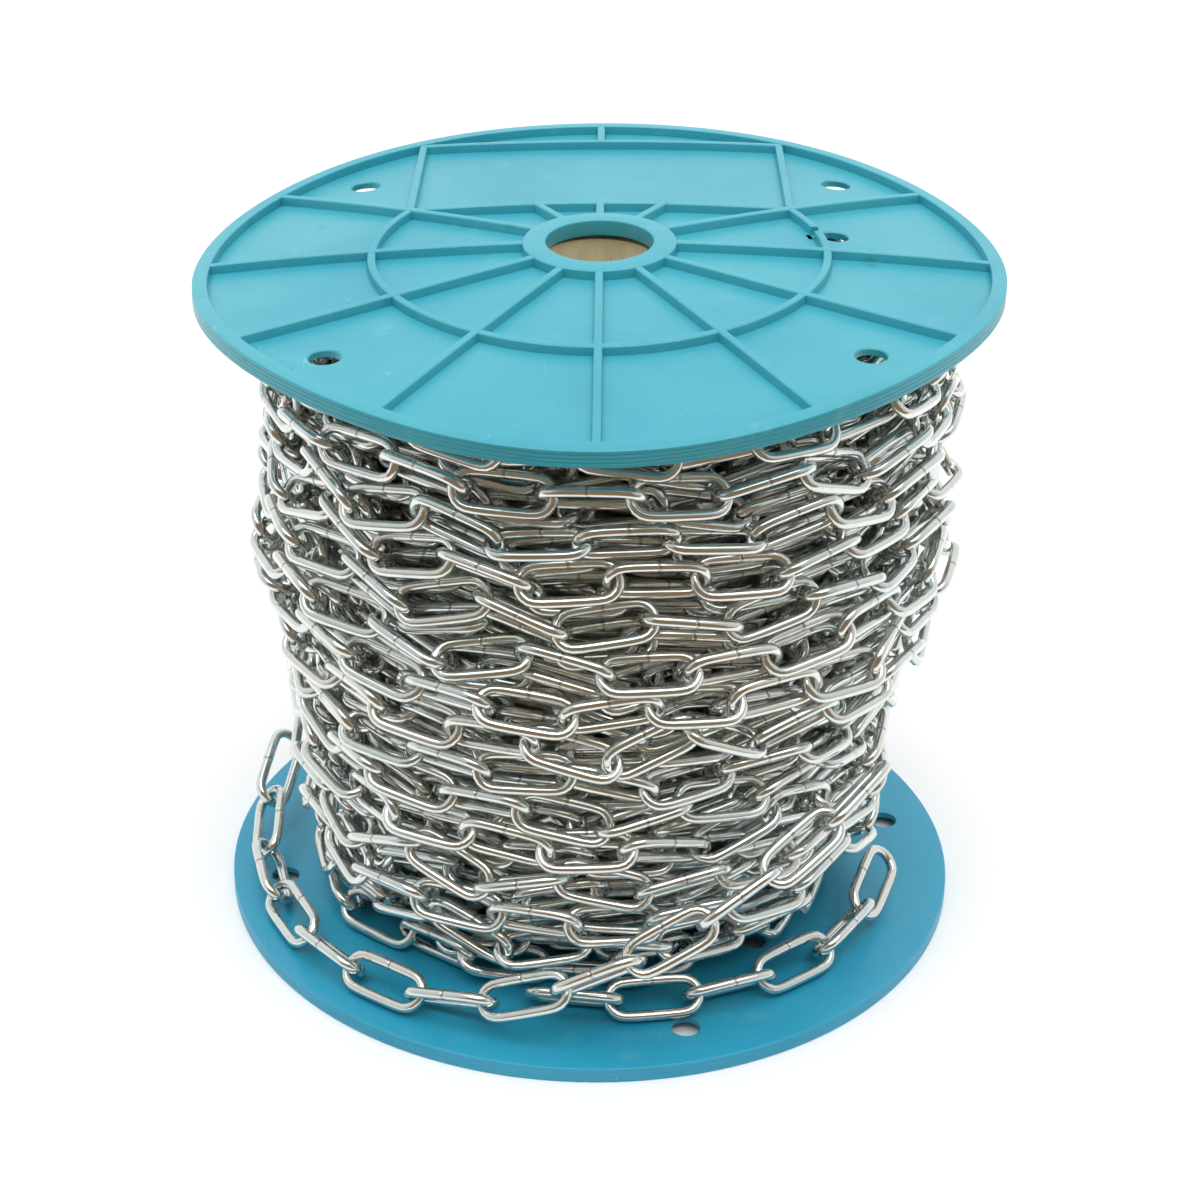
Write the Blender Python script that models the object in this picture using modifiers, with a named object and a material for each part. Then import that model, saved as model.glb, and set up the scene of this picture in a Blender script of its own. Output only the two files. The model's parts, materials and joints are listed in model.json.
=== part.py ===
"""Reel of zinc-plated steel chain: a moulded plastic spool wound full of long-link chain.

Metres, +Z up. The reel stands on the ribs of its lower flange. The origin is on the reel's axis,
in the plane that those ribs stand on, and the label panel of the upper flange is at +Y.
"""

import math

import bmesh
import bpy
from mathutils import Matrix, Vector

# The chain: short name 5 x 35, the wire's diameter by the inside length of a link
WIRE_DIAMETER = 0.0050
LINK_INSIDE_LENGTH = 0.0350
LINK_OUTSIDE_WIDTH = 0.0200
LINK_SPACING = 0.0340
LINK_END_POINTS = 5
LINK_LEAN = math.radians(45)

# The spool
REEL_HEIGHT = 0.3110
UPPER_FLANGE_RADIUS = 0.1700
LOWER_FLANGE_RADIUS = 0.1665
LOWER_FLANGE_TURN = math.radians(-31)
FLANGE_DEPTH = 0.0071
PLATE_THICKNESS = 0.0030
RIM_WIDTH = 0.0064
RIB_WIDTH = 0.0040
RIB_SHY_OF_RIM = 0.0002
RIB_OVERRUN = 0.0012
MID_RING_RADIUS = 0.0955
HUB_RADIUS = 0.0324
BORE_RADIUS = 0.0226
PANEL_BACK_EDGE = 0.1400
COLLAR_DEPTH = 0.0045
COLLAR_INNER_RADIUS = 0.0308
COLLAR_OUTER_RADIUS = 0.0338
FLANGE_STEPS = 72
MID_RING_STEP = 10
HOLE_SIDES = 16
CUTTER_REACH = 0.0020
SHARP_ANGLE = math.radians(30)

# Holes through a flange: four for handling and one that holds the end of the chain
HANDLING_HOLE_RADIUS = 0.0064
HANDLING_HOLE_CIRCLE = 0.1430
HANDLING_HOLE_ANGLES = (42, 138, 222, 318)
CHAIN_END_HOLE_RADIUS = 0.0058
CHAIN_END_HOLE_CIRCLE = 0.1040
CHAIN_END_HOLE_ANGLE = 14.3
CHAIN_END_SLOT_WIDTH = 0.0050

# The cardboard tube
TUBE_INNER_RADIUS = 0.0250
TUBE_OUTER_RADIUS = 0.0300
TUBE_END_PLAY = 0.0020
TUBE_STEPS = 48

# The wound chain
ROWS = 15
TURN_STEPS = 24
COIL_TOP = 0.2860
COIL_FULL_RADIUS = 0.1500
COIL_WAIST_RADIUS = 0.1410
COIL_FOOT_RADIUS = 0.1190
COIL_FOOT_HEIGHT = (0.012, 0.062)
COIL_SHOULDER_HEIGHT = (0.124, 0.150)
COIL_LEAN = 0.0050
ROW_GROOVE_DEPTH = 0.0050
ROW_GROOVE_WIDTH = 0.0040
LAYER_THICKNESS = 0.0220
LINK_DEPTH = 0.0060

# Where the outer turns step up from one row to the next: a share of the turn that ends at an angle
STEP_UP_ANGLE = 90
STEP_UP_SHARE = 0.12

# The hollow below the outer wire of every second outer link
SLOT_LENGTH = 0.0260
SLOT_DEPTH = 0.0050
SLOT_PAST_MIDDLE = 0.0026
SLOT_PAST_ROW = 0.0003

GAP = 0.0003
CORE_PLAY = 0.0009

# How finely the routes of chain are followed
ROUTE_STEPS = 20
HALVINGS = 30

# Finishes: colour, roughness, metallic
BLUE_PLASTIC = ((0.10, 0.42, 0.52), 0.45, 0.0)
CARDBOARD = ((0.62, 0.48, 0.30), 0.85, 0.0)
ZINC_PLATE = ((0.72, 0.73, 0.72), 0.28, 1.0)

# How far the upper flange has sagged, as shares of its radius: a cone and a dome that lower its rim,
# a tilt to the left and the front, and a slight three-lobed and four-lobed wave round the rim
SAG_CONE = -0.0329
SAG_DOME = (-0.0289, -0.0311)
SAG_TILT = (0.0202, 0.0255)
SAG_THREE_LOBES = -0.0154
SAG_FOUR_LOBES = -0.0074

# The loose chain that lies outside the winding: angle in degrees, radius and height in millimetres
LOOSE_RUN_ROUTE = (
    (-196, 151, 38), (-184, 151, 26), (-172, 151, 19), (-158, 151, 16), (-144, 151, 16),
    (-130, 150, 16), (-117, 149, 17), (-104, 148, 24), (-91, 149, 38), (-78, 151, 56),
    (-66, 151, 73), (-55, 151, 88), (-43, 151, 101), (-33, 151, 109), (-25, 151, 114),
)
FOOT_RUN_ROUTE = (
    (-100, 129, 16), (-89, 131, 16), (-75, 133, 16), (-60, 135, 16), (-48, 137, 16),
    (-37, 138, 17), (-25, 138, 20), (-13, 138, 25),
)


def material(name, colour, roughness, metallic):
    """Principled material with one colour, roughness and metallic value."""
    made = bpy.data.materials.new(name)
    made.use_nodes = True
    shader = made.node_tree.nodes["Principled BSDF"]
    shader.inputs["Base Color"].default_value = (*colour, 1.0)
    shader.inputs["Roughness"].default_value = roughness
    shader.inputs["Metallic"].default_value = metallic
    made.diffuse_color = (*colour, 1.0)
    return made


def collection(name):
    """New collection in the scene."""
    made = bpy.data.collections.new(name)
    bpy.context.scene.collection.children.link(made)
    return made


def add_object(name, mesh, home, finish=None):
    """Object for a mesh, in one collection, with its material."""
    made = bpy.data.objects.new(name, mesh)
    home.objects.link(made)
    if finish:
        mesh.materials.clear()
        mesh.materials.append(finish)
    return made


def evaluated_copy(source):
    """Mesh of an object as its modifiers leave it, in world coordinates, with its seams welded."""
    bpy.context.view_layer.update()
    graph = bpy.context.evaluated_depsgraph_get()
    mesh = bpy.data.meshes.new_from_object(source.evaluated_get(graph), depsgraph=graph)
    mesh.transform(source.matrix_world)
    shape = bmesh.new()
    shape.from_mesh(mesh)
    bmesh.ops.remove_doubles(shape, verts=shape.verts, dist=0.00001)
    shape.to_mesh(mesh)
    shape.free()
    return mesh


def turned(name, profile, steps, home):
    """Closed (radius, height) profile turned round Z; it runs down its outer side, top to bottom."""
    mesh = bpy.data.meshes.new(name)
    points = [(radius, 0.0, height) for radius, height in profile]
    edges = [(i, (i + 1) % len(points)) for i in range(len(points))]
    mesh.from_pydata(points, edges, [])
    made = add_object(name, mesh, home)
    screw = made.modifiers.new("turn", "SCREW")
    screw.angle = math.tau
    screw.steps = steps
    screw.render_steps = steps
    screw.use_merge_vertices = True
    screw.merge_threshold = 0.00001
    screw.use_smooth_shade = False
    baked = evaluated_copy(made)
    made.modifiers.clear()
    made.data = baked
    return made


def box(centre, size, turn=0.0):
    """Box mesh data as a bmesh, with its length along the direction at the angle turn."""
    shape = bmesh.new()
    place = Matrix.Translation(centre) @ Matrix.Rotation(turn, 4, "Z") @ Matrix.Diagonal((*size, 1.0))
    bmesh.ops.create_cube(shape, size=1.0, matrix=place)
    return shape


def bar(start, end, low, high, pieces=1):
    """Straight rib between two points in plan, cut across into pieces so that it can follow a sag."""
    run = Vector(end) - Vector(start)
    middle = (Vector(start) + Vector(end)) / 2
    length = run.length + 2 * RIB_OVERRUN
    shape = box((middle.x, middle.y, (low + high) / 2), (length, RIB_WIDTH, high - low),
                math.atan2(run.y, run.x))
    for i in range(1, pieces):
        cut = Vector(start) + run * (i / pieces)
        bmesh.ops.bisect_plane(shape, geom=shape.verts[:] + shape.edges[:] + shape.faces[:],
                               plane_co=(cut.x, cut.y, 0), plane_no=(run.x, run.y, 0))
    return shape


def cylinder(centre, radius, low, high):
    """Upright cylinder as a bmesh."""
    shape = bmesh.new()
    place = Matrix.Translation((centre[0], centre[1], (low + high) / 2))
    bmesh.ops.create_cone(shape, cap_ends=True, segments=HOLE_SIDES, radius1=radius, radius2=radius,
                          depth=high - low, matrix=place)
    return shape


def joined(name, shapes, home):
    """One object from several bmeshes."""
    mesh = bpy.data.meshes.new(name)
    whole = bmesh.new()
    for shape in shapes:
        part = bpy.data.meshes.new("part")
        shape.to_mesh(part)
        shape.free()
        whole.from_mesh(part)
        bpy.data.meshes.remove(part)
    whole.to_mesh(mesh)
    whole.free()
    return add_object(name, mesh, home)


def hide_cutter(cutter):
    """Shows a cutter as wire and keeps it out of the part."""
    cutter.hide_render = True
    cutter.display_type = "WIRE"


def boolean(target, other, operation):
    """Exact Boolean of two objects, left on the target as a modifier."""
    made = target.modifiers.new(other.name, "BOOLEAN")
    made.object = other
    made.operation = operation
    made.solver = "EXACT"
    made.use_self = True
    hide_cutter(other)


def polar(radius, degrees):
    """Point in plan at a radius and an angle from +X."""
    angle = math.radians(degrees)
    return Vector((radius * math.cos(angle), radius * math.sin(angle)))


def ring_arc(radius, width, start, stop, low, high):
    """Part of an upright ring, from one angle to another in degrees, as a bmesh."""
    inner, outer = radius - width / 2, radius + width / 2
    angles = range(start, stop + MID_RING_STEP, MID_RING_STEP)
    outline = [polar(outer, a) for a in angles] + [polar(inner, a) for a in reversed(angles)]
    shape = bmesh.new()
    face = shape.faces.new([shape.verts.new((p.x, p.y, low)) for p in outline])
    lifted = bmesh.ops.extrude_face_region(shape, geom=[face])["geom"]
    corners = [item for item in lifted if isinstance(item, bmesh.types.BMVert)]
    bmesh.ops.translate(shape, verts=corners, vec=(0, 0, high - low))
    bmesh.ops.recalc_face_normals(shape, faces=shape.faces)
    return shape


def flange_profile(radius):
    """Turned section of a flange: hub, plate, rim and the collar that holds the tube."""
    plate = PLATE_THICKNESS
    depth = FLANGE_DEPTH
    rim = radius - RIM_WIDTH
    return [
        (BORE_RADIUS, depth), (HUB_RADIUS, depth), (HUB_RADIUS, plate), (MID_RING_RADIUS, plate),
        (rim, plate), (rim, depth), (radius, depth), (radius, 0.0), (MID_RING_RADIUS, 0.0),
        (COLLAR_OUTER_RADIUS, 0.0), (COLLAR_OUTER_RADIUS, -COLLAR_DEPTH),
        (COLLAR_INNER_RADIUS, -COLLAR_DEPTH), (COLLAR_INNER_RADIUS, 0.0), (BORE_RADIUS, 0.0),
    ]


def flange_ribs(radius):
    """Ribs of a flange: radial ones, the arc between them and the frame of the label panel."""
    low = PLATE_THICKNESS / 2
    high = FLANGE_DEPTH - RIB_SHY_OF_RIM
    hub = (HUB_RADIUS + BORE_RADIUS) / 2
    rim = radius - RIM_WIDTH / 2
    node = polar(MID_RING_RADIUS, 30)
    shapes = []
    for degrees in [0, 30] + list(range(150, 360, 30)):
        shapes.append(bar(polar(hub, degrees), polar(rim, degrees), low, high, 3))
    for degrees in (60, 90, 120):
        reach = node.y / math.sin(math.radians(degrees))
        shapes.append(bar(polar(hub, degrees), polar(reach, degrees), low, high))
    shapes.append(bar((-node.x, node.y), (node.x, node.y), low, high, 3))
    shapes.append(bar((-node.x, PANEL_BACK_EDGE), (node.x, PANEL_BACK_EDGE), low, high, 3))
    shapes.append(bar((0, PANEL_BACK_EDGE), (0, rim), low, high))
    for side in (-1, 1):
        shapes.append(bar((side * node.x, node.y), (side * node.x, PANEL_BACK_EDGE), low, high, 2))
    shapes.append(ring_arc(MID_RING_RADIUS, RIB_WIDTH, 150, 390, low, high))
    return shapes


def flange_holes():
    """Cutters for the handling holes, the chain-end hole and the slot beside it."""
    low, high = -CUTTER_REACH, FLANGE_DEPTH + CUTTER_REACH
    shapes = [cylinder(polar(HANDLING_HOLE_CIRCLE, a), HANDLING_HOLE_RADIUS, low, high)
              for a in HANDLING_HOLE_ANGLES]
    shapes.append(cylinder(polar(CHAIN_END_HOLE_CIRCLE, CHAIN_END_HOLE_ANGLE),
                           CHAIN_END_HOLE_RADIUS, low, high))
    slot = polar(MID_RING_RADIUS, CHAIN_END_HOLE_ANGLE)
    shapes.append(box((slot.x, slot.y, (PLATE_THICKNESS + high) / 2),
                      (RIB_WIDTH * 2, CHAIN_END_SLOT_WIDTH, high - PLATE_THICKNESS),
                      math.radians(CHAIN_END_HOLE_ANGLE)))
    return shapes


def sag(x, y):
    """Height that the upper flange has moved up, or down where it is negative, at a point in plan."""
    u, v = x / UPPER_FLANGE_RADIUS, y / UPPER_FLANGE_RADIUS
    r, angle = math.hypot(u, v), math.atan2(v, u)
    drop = SAG_CONE * r + SAG_DOME[0] * u * u + SAG_DOME[1] * v * v
    tilt = SAG_TILT[0] * u + SAG_TILT[1] * v
    wave = SAG_THREE_LOBES * r**3 * math.sin(3 * angle) + SAG_FOUR_LOBES * r**4 * math.cos(4 * angle)
    return UPPER_FLANGE_RADIUS * (drop + tilt + wave)


def make_flange(name, radius, place, home, cutters, finish, moved=None):
    """Flange with its ribs on +Z before it is placed; moved(x, y) then lifts each of its points."""
    body = turned(name + "_turned", flange_profile(radius), FLANGE_STEPS, cutters)
    boolean(body, joined(name + "_ribs", flange_ribs(radius), cutters), "UNION")
    boolean(body, joined(name + "_holes", flange_holes(), cutters), "DIFFERENCE")
    mesh = evaluated_copy(body)
    hide_cutter(body)
    mesh.transform(place)
    shape = bmesh.new()
    shape.from_mesh(mesh)
    bmesh.ops.triangulate(shape, faces=shape.faces)
    if moved:
        for point in shape.verts:
            point.co.z += moved(point.co.x, point.co.y)
    shape.to_mesh(mesh)
    shape.free()
    made = add_object(name, mesh, home, finish)
    smooth_round(made)
    return made


def smooth_round(piece):
    """Shades the round sides smooth and keeps the edges crisp."""
    piece.data.shade_smooth()
    piece.data.set_sharp_from_angle(angle=SHARP_ANGLE)


def ease(value, span):
    """Smooth step from 0 at the start of a span to 1 at its end."""
    t = min(max((value - span[0]) / (span[1] - span[0]), 0.0), 1.0)
    return t * t * (3 - 2 * t)


def coil_radius(height):
    """Outer radius of the winding: drawn in at its foot, a little slack below its middle."""
    foot = COIL_FOOT_RADIUS + (COIL_WAIST_RADIUS - COIL_FOOT_RADIUS) * ease(height, COIL_FOOT_HEIGHT)
    return foot + (COIL_FULL_RADIUS - COIL_WAIST_RADIUS) * ease(height, COIL_SHOULDER_HEIGHT)


def row_height():
    """Height that one row of chain takes."""
    return (COIL_TOP - FLANGE_DEPTH - GAP) / ROWS


def coil_lean(height):
    """How far the outer turns hang out towards +X: nothing below the winding's shoulder."""
    return COIL_LEAN * ease(height, COIL_SHOULDER_HEIGHT)


def core_radius(height):
    """Outer radius of the hidden turns, just inside the outer layer."""
    return coil_radius(height) - LAYER_THICKNESS


def row_middles():
    """Heights of the rows' middles, from the bottom row up."""
    return [FLANGE_DEPTH + GAP + row_height() * (row + 0.5) for row in range(ROWS)]


def layer_outline():
    """Outer (radius, height) outline of the outer layer, top to bottom: rows with a groove between them."""
    half, lip = row_height() / 2, (row_height() - ROW_GROOVE_WIDTH) / 2
    outline = [(coil_radius(COIL_TOP) - ROW_GROOVE_DEPTH, COIL_TOP)]
    for middle in reversed(row_middles()):
        outline += [(coil_radius(middle + lip), middle + lip), (coil_radius(middle - lip), middle - lip),
                    (coil_radius(middle - half) - ROW_GROOVE_DEPTH, middle - half)]
    return outline


def outer_turns_line():
    """Fine polyline along the outer turns: a ring for each row, with a step up to the next one."""
    line = []
    for row, middle in enumerate(row_middles()):
        for step in range(ROUTE_STEPS * TURN_STEPS):
            share = step / (ROUTE_STEPS * TURN_STEPS)
            rise = row_height() * ease(share, (1 - STEP_UP_SHARE, 1)) if row < ROWS - 1 else 0
            height = middle + rise
            spot = polar(coil_radius(height) - LINK_DEPTH, STEP_UP_ANGLE + 360 * share)
            line.append(Vector((spot.x + coil_lean(height), spot.y, height)))
    return line


def link_slots():
    """Cutters below the outer wire of every second outer link."""
    stations = spaced(outer_turns_line(), LINK_INSIDE_LENGTH)
    low, high = -row_height() / 2 - SLOT_PAST_ROW, SLOT_PAST_MIDDLE
    shapes = []
    for here, there in zip(stations[::2], stations[1::2]):
        middle = (here + there) / 2
        lean = coil_lean(middle.z)
        angle = math.atan2(middle.y, middle.x - lean)
        spot = polar(coil_radius(middle.z), math.degrees(angle))
        centre = (spot.x + lean, spot.y, middle.z + (low + high) / 2)
        shapes.append(box(centre, (2 * SLOT_DEPTH, SLOT_LENGTH, high - low), angle))
    return shapes


def lean_out(layer):
    """Moves the outer surface of the outer layer towards +X and leaves its inner surface."""
    for point in layer.data.vertices:
        if math.hypot(point.co.x, point.co.y) > core_radius(point.co.z) + LAYER_THICKNESS / 2:
            point.co.x += coil_lean(point.co.z)


def make_outer_layer(home, cutters, finish):
    """Outermost turns of chain as one ring, grooved between rows, hollowed at every second link."""
    inner = [(core_radius(z) + GAP, z) for z in inner_heights()]
    layer = turned("chain_outer_layer", layer_outline() + inner[::-1], TURN_STEPS, home)
    lean_out(layer)
    boolean(layer, joined("link_slots", link_slots(), cutters), "DIFFERENCE")
    layer.data.materials.append(finish)
    return layer


def inner_heights():
    """Heights, top to bottom, where the border between the core and the outer layer bends."""
    foot, shoulder = COIL_FOOT_HEIGHT, COIL_SHOULDER_HEIGHT
    return [COIL_TOP, shoulder[1], shoulder[0], foot[1], sum(foot) / 2, FLANGE_DEPTH + GAP]


def make_core(home, finish):
    """Hidden turns of chain as one plain turned solid round the tube and the lower collar."""
    collar = FLANGE_DEPTH + COLLAR_DEPTH + GAP
    wide = COLLAR_OUTER_RADIUS + CORE_PLAY
    narrow = TUBE_OUTER_RADIUS + CORE_PLAY
    outer = [(core_radius(z), z) for z in inner_heights()]
    inner = [(wide, FLANGE_DEPTH + GAP), (wide, collar), (narrow, collar),
             (narrow, COIL_TOP - COLLAR_DEPTH), (wide, COIL_TOP - COLLAR_DEPTH), (wide, COIL_TOP)]
    core = turned("chain_hidden_turns", outer + inner, TURN_STEPS, home)
    core.data.materials.append(finish)
    smooth_round(core)
    return core


def make_tube(home, finish):
    """Cardboard tube between the two flanges' hubs."""
    low = FLANGE_DEPTH + GAP
    high = REEL_HEIGHT - FLANGE_DEPTH + sag(HUB_RADIUS, 0) - TUBE_END_PLAY
    tube = turned("cardboard_tube", [
        (TUBE_INNER_RADIUS, high), (TUBE_OUTER_RADIUS, high), (TUBE_OUTER_RADIUS, low),
        (TUBE_INNER_RADIUS, low)], TUBE_STEPS, home)
    tube.data.materials.append(finish)
    smooth_round(tube)
    return tube


def smooth_route(route):
    """Fine polyline through the route's points, as a Catmull-Rom curve, in metres."""
    points = [Vector((*polar(radius / 1000, degrees), height / 1000)) for degrees, radius, height in route]
    ends = [points[0] * 2 - points[1]] + points + [points[-1] * 2 - points[-2]]
    line = []
    for a, b, c, d in zip(ends, ends[1:], ends[2:], ends[3:]):
        for i in range(ROUTE_STEPS):
            t = i / ROUTE_STEPS
            line.append(0.5 * (2 * b + (c - a) * t + (2 * a - 5 * b + 4 * c - d) * t**2
                               + (3 * b - a - 3 * c + d) * t**3))
    return line + [points[-1]]


def spaced(line, spacing):
    """Points along a polyline, each one straight spacing from the one before."""
    found = [line[0]]
    for a, b in zip(line, line[1:]):
        if (b - found[-1]).length < spacing:
            continue
        low, high = 0.0, 1.0
        for _ in range(HALVINGS):
            t = (low + high) / 2
            if (a.lerp(b, t) - found[-1]).length < spacing:
                low = t
            else:
                high = t
        found.append(a.lerp(b, high))
    return found


def link_outline():
    """Centre line of one link's wire, lengthwise along X, as points on two half circles."""
    radius = (LINK_OUTSIDE_WIDTH - WIRE_DIAMETER) / 2
    middle = (LINK_INSIDE_LENGTH + WIRE_DIAMETER) / 2 - radius
    points = []
    for side in (1, -1):
        for i in range(LINK_END_POINTS):
            angle = math.pi * (i / (LINK_END_POINTS - 1) - 0.5)
            points.append(Vector((side * (middle + radius * math.cos(angle)),
                                  side * radius * math.sin(angle), 0.0)))
    return points


def link_mesh():
    """Mesh that every loose link shares: the wire bent into a closed long ring."""
    curve = bpy.data.curves.new("link_wire", "CURVE")
    curve.dimensions = "3D"
    curve.bevel_depth = WIRE_DIAMETER / 2
    curve.bevel_resolution = 1
    points = link_outline()
    spline = curve.splines.new("POLY")
    spline.points.add(len(points) - 1)
    for target, point in zip(spline.points, points):
        target.co = (*point, 1.0)
    spline.use_cyclic_u = True
    wire = bpy.data.objects.new("link_wire", curve)
    bpy.context.scene.collection.objects.link(wire)
    mesh = evaluated_copy(wire)
    bpy.data.objects.remove(wire)
    mesh.shade_smooth()
    return mesh


def make_loose_run(name, route, mesh, home, finish):
    """Loose chain along a route: linked links, leaning one way and the other in turn."""
    stations = spaced(smooth_route(route), LINK_SPACING)
    mesh.materials.clear()
    mesh.materials.append(finish)
    for number, (here, there) in enumerate(zip(stations, stations[1:]), start=1):
        centre = (here + there) / 2
        along = (there - here).normalized()
        outward = Vector((centre.x, centre.y, 0.0))
        outward = (outward - along * outward.dot(along)).normalized()
        lean = LINK_LEAN if number % 2 else -LINK_LEAN
        across = (Matrix.Rotation(lean, 3, along) @ outward).cross(along).normalized()
        facing = along.cross(across)
        link = bpy.data.objects.new(f"{name}_{number:02d}", mesh)
        home.objects.link(link)
        turn = Matrix((along, across, facing)).transposed().to_4x4()
        link.matrix_world = Matrix.Translation(centre) @ turn


def main():
    """Builds the whole reel."""
    for old in list(bpy.data.objects):
        bpy.data.objects.remove(old)
    home = collection("reel_of_chain")
    cutters = collection("cutters")
    plastic = material("blue_moulded_plastic", *BLUE_PLASTIC)
    cardboard = material("cardboard", *CARDBOARD)
    zinc = material("zinc_plated_steel", *ZINC_PLATE)

    lift_up = Matrix.Translation((0, 0, REEL_HEIGHT - FLANGE_DEPTH))
    make_flange("upper_flange", UPPER_FLANGE_RADIUS, lift_up, home, cutters, plastic, sag)
    turn_over = (Matrix.Translation((0, 0, FLANGE_DEPTH)) @ Matrix.Rotation(LOWER_FLANGE_TURN, 4, "Z")
                 @ Matrix.Rotation(math.pi, 4, "X"))
    make_flange("lower_flange", LOWER_FLANGE_RADIUS, turn_over, home, cutters, plastic)
    make_tube(home, cardboard)
    make_core(home, zinc)
    make_outer_layer(home, cutters, zinc)
    link = link_mesh()
    make_loose_run("loose_link", LOOSE_RUN_ROUTE, link, home, zinc)
    make_loose_run("foot_link", FOOT_RUN_ROUTE, link, home, zinc)


main()
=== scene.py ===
"""Looks of the reel of steel chain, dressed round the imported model.

Metres, +Z up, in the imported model's own frame: the reel stands on z = 0 and its axis is the Z axis.
"""

import json
import logging
import math
from dataclasses import dataclass, field
from enum import Enum

import bmesh
import bpy
import numpy as np
from mathutils import Matrix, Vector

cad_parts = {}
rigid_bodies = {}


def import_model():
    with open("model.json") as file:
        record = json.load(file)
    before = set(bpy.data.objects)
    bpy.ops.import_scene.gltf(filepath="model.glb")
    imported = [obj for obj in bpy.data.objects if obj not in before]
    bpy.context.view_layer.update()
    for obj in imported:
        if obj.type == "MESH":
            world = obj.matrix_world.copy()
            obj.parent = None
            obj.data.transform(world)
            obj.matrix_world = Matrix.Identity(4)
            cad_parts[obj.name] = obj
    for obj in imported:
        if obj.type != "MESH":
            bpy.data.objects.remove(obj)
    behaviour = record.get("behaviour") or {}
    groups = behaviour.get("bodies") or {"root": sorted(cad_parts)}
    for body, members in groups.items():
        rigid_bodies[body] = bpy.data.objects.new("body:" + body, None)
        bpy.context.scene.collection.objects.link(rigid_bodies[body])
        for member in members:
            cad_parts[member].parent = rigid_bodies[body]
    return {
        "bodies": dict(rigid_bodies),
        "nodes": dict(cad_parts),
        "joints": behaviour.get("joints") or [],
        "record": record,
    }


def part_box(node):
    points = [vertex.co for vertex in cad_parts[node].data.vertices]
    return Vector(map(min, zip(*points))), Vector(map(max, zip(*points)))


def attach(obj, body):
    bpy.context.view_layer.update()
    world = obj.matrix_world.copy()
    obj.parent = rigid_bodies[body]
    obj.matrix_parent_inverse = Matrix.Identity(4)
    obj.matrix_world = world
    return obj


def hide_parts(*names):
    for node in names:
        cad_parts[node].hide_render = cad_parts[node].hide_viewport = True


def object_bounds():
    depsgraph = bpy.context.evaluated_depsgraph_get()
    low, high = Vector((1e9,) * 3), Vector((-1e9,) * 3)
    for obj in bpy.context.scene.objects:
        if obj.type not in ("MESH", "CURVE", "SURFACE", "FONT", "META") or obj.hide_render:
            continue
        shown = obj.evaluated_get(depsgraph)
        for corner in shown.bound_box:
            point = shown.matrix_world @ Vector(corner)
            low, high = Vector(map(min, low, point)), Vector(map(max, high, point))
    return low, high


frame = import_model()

CAD_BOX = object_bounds()
ROOT = "root"
REEL_HEIGHT = CAD_BOX[1].z
MILLIMETRE = 0.001
TINY = 0.00001
LOG = logging.getLogger("reel")

Array = np.ndarray
LEVEL = np.array([1.0, 1.0, 0.0])


class Slot(Enum):
    """Material slots of the record, whose names the finishes built below reuse."""

    PLASTIC = "blue_plastic"
    CARDBOARD = "cardboard"
    ZINC = "zinc_chain"


# Meshes from whole arrays


def grid_quads(rows: int, columns: int, wrap_rows: bool, wrap_columns: bool) -> Array:
    """Corner indices of the quads of a grid of points: point (i, j) has index i * columns + j.

    Args:
        rows: number of points along the first parameter.
        columns: number of points along the second parameter.
        wrap_rows: joins the last row to the first.
        wrap_columns: joins the last column to the first.

    Returns:
        An array of shape (quads, 4).
    """
    i = np.arange(rows if wrap_rows else rows - 1)[:, None]
    j = np.arange(columns if wrap_columns else columns - 1)[None, :]
    i2, j2 = (i + 1) % rows, (j + 1) % columns
    corners = (i * columns + j, i2 * columns + j, i2 * columns + j2, i * columns + j2)
    return np.stack(corners, axis=-1).reshape(-1, 4)


def volume_sign(points: Array, quads: Array) -> float:
    """Sign of the volume that quads enclose.

    Each quad is two triangles, and each triangle's volume with the origin is a . (b x c) / 6.

    Args:
        points: array of shape (points, 3).
        quads: array of shape (quads, 4).

    Returns:
        1.0 where the faces look outwards, -1.0 where they look inwards.
    """
    a, b, c, d = (points[quads[:, k]] for k in range(4))
    return float(np.sign(np.sum(a * (np.cross(b, c) + np.cross(c, d)))))


def quad_mesh(name: str, points: Array, quads: Array,
              caps: list[list[int]] | None = None) -> bpy.types.Mesh:
    """Mesh of quads, and of end caps if there are any, with its faces turned outwards.

    Args:
        name: the mesh's name.
        points: array of shape (points, 3).
        quads: array of shape (quads, 4).
        caps: polygons that close open ends, as lists of point indices.

    Returns:
        The new mesh.
    """
    mesh = bpy.data.meshes.new(name)
    mesh.from_pydata(points.tolist(), [], quads.tolist() + (caps or []))
    mesh.update()
    if caps:
        shape = bmesh.new()
        shape.from_mesh(mesh)
        bmesh.ops.recalc_face_normals(shape, faces=shape.faces)
        shape.to_mesh(mesh)
        shape.free()
    elif volume_sign(points, quads) < 0:
        mesh.flip_normals()
    return mesh


def turned(profile: Array, steps: int) -> tuple[Array, Array]:
    """Closed (radius, height) profile carried round Z: point = (r cos t, r sin t, z).

    Args:
        profile: array of shape (points, 2).
        steps: how many times the profile is repeated round the turn.

    Returns:
        The points and the quads of the turned surface.
    """
    turn = np.linspace(0.0, math.tau, steps, endpoint=False)
    radius, height = profile[:, 0][None, :], profile[:, 1][None, :]
    x, y = radius * np.cos(turn)[:, None], radius * np.sin(turn)[:, None]
    points = np.stack([x, y, np.broadcast_to(height, x.shape)], axis=-1)
    return points.reshape(-1, 3), grid_quads(steps, len(profile), True, True)


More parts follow.
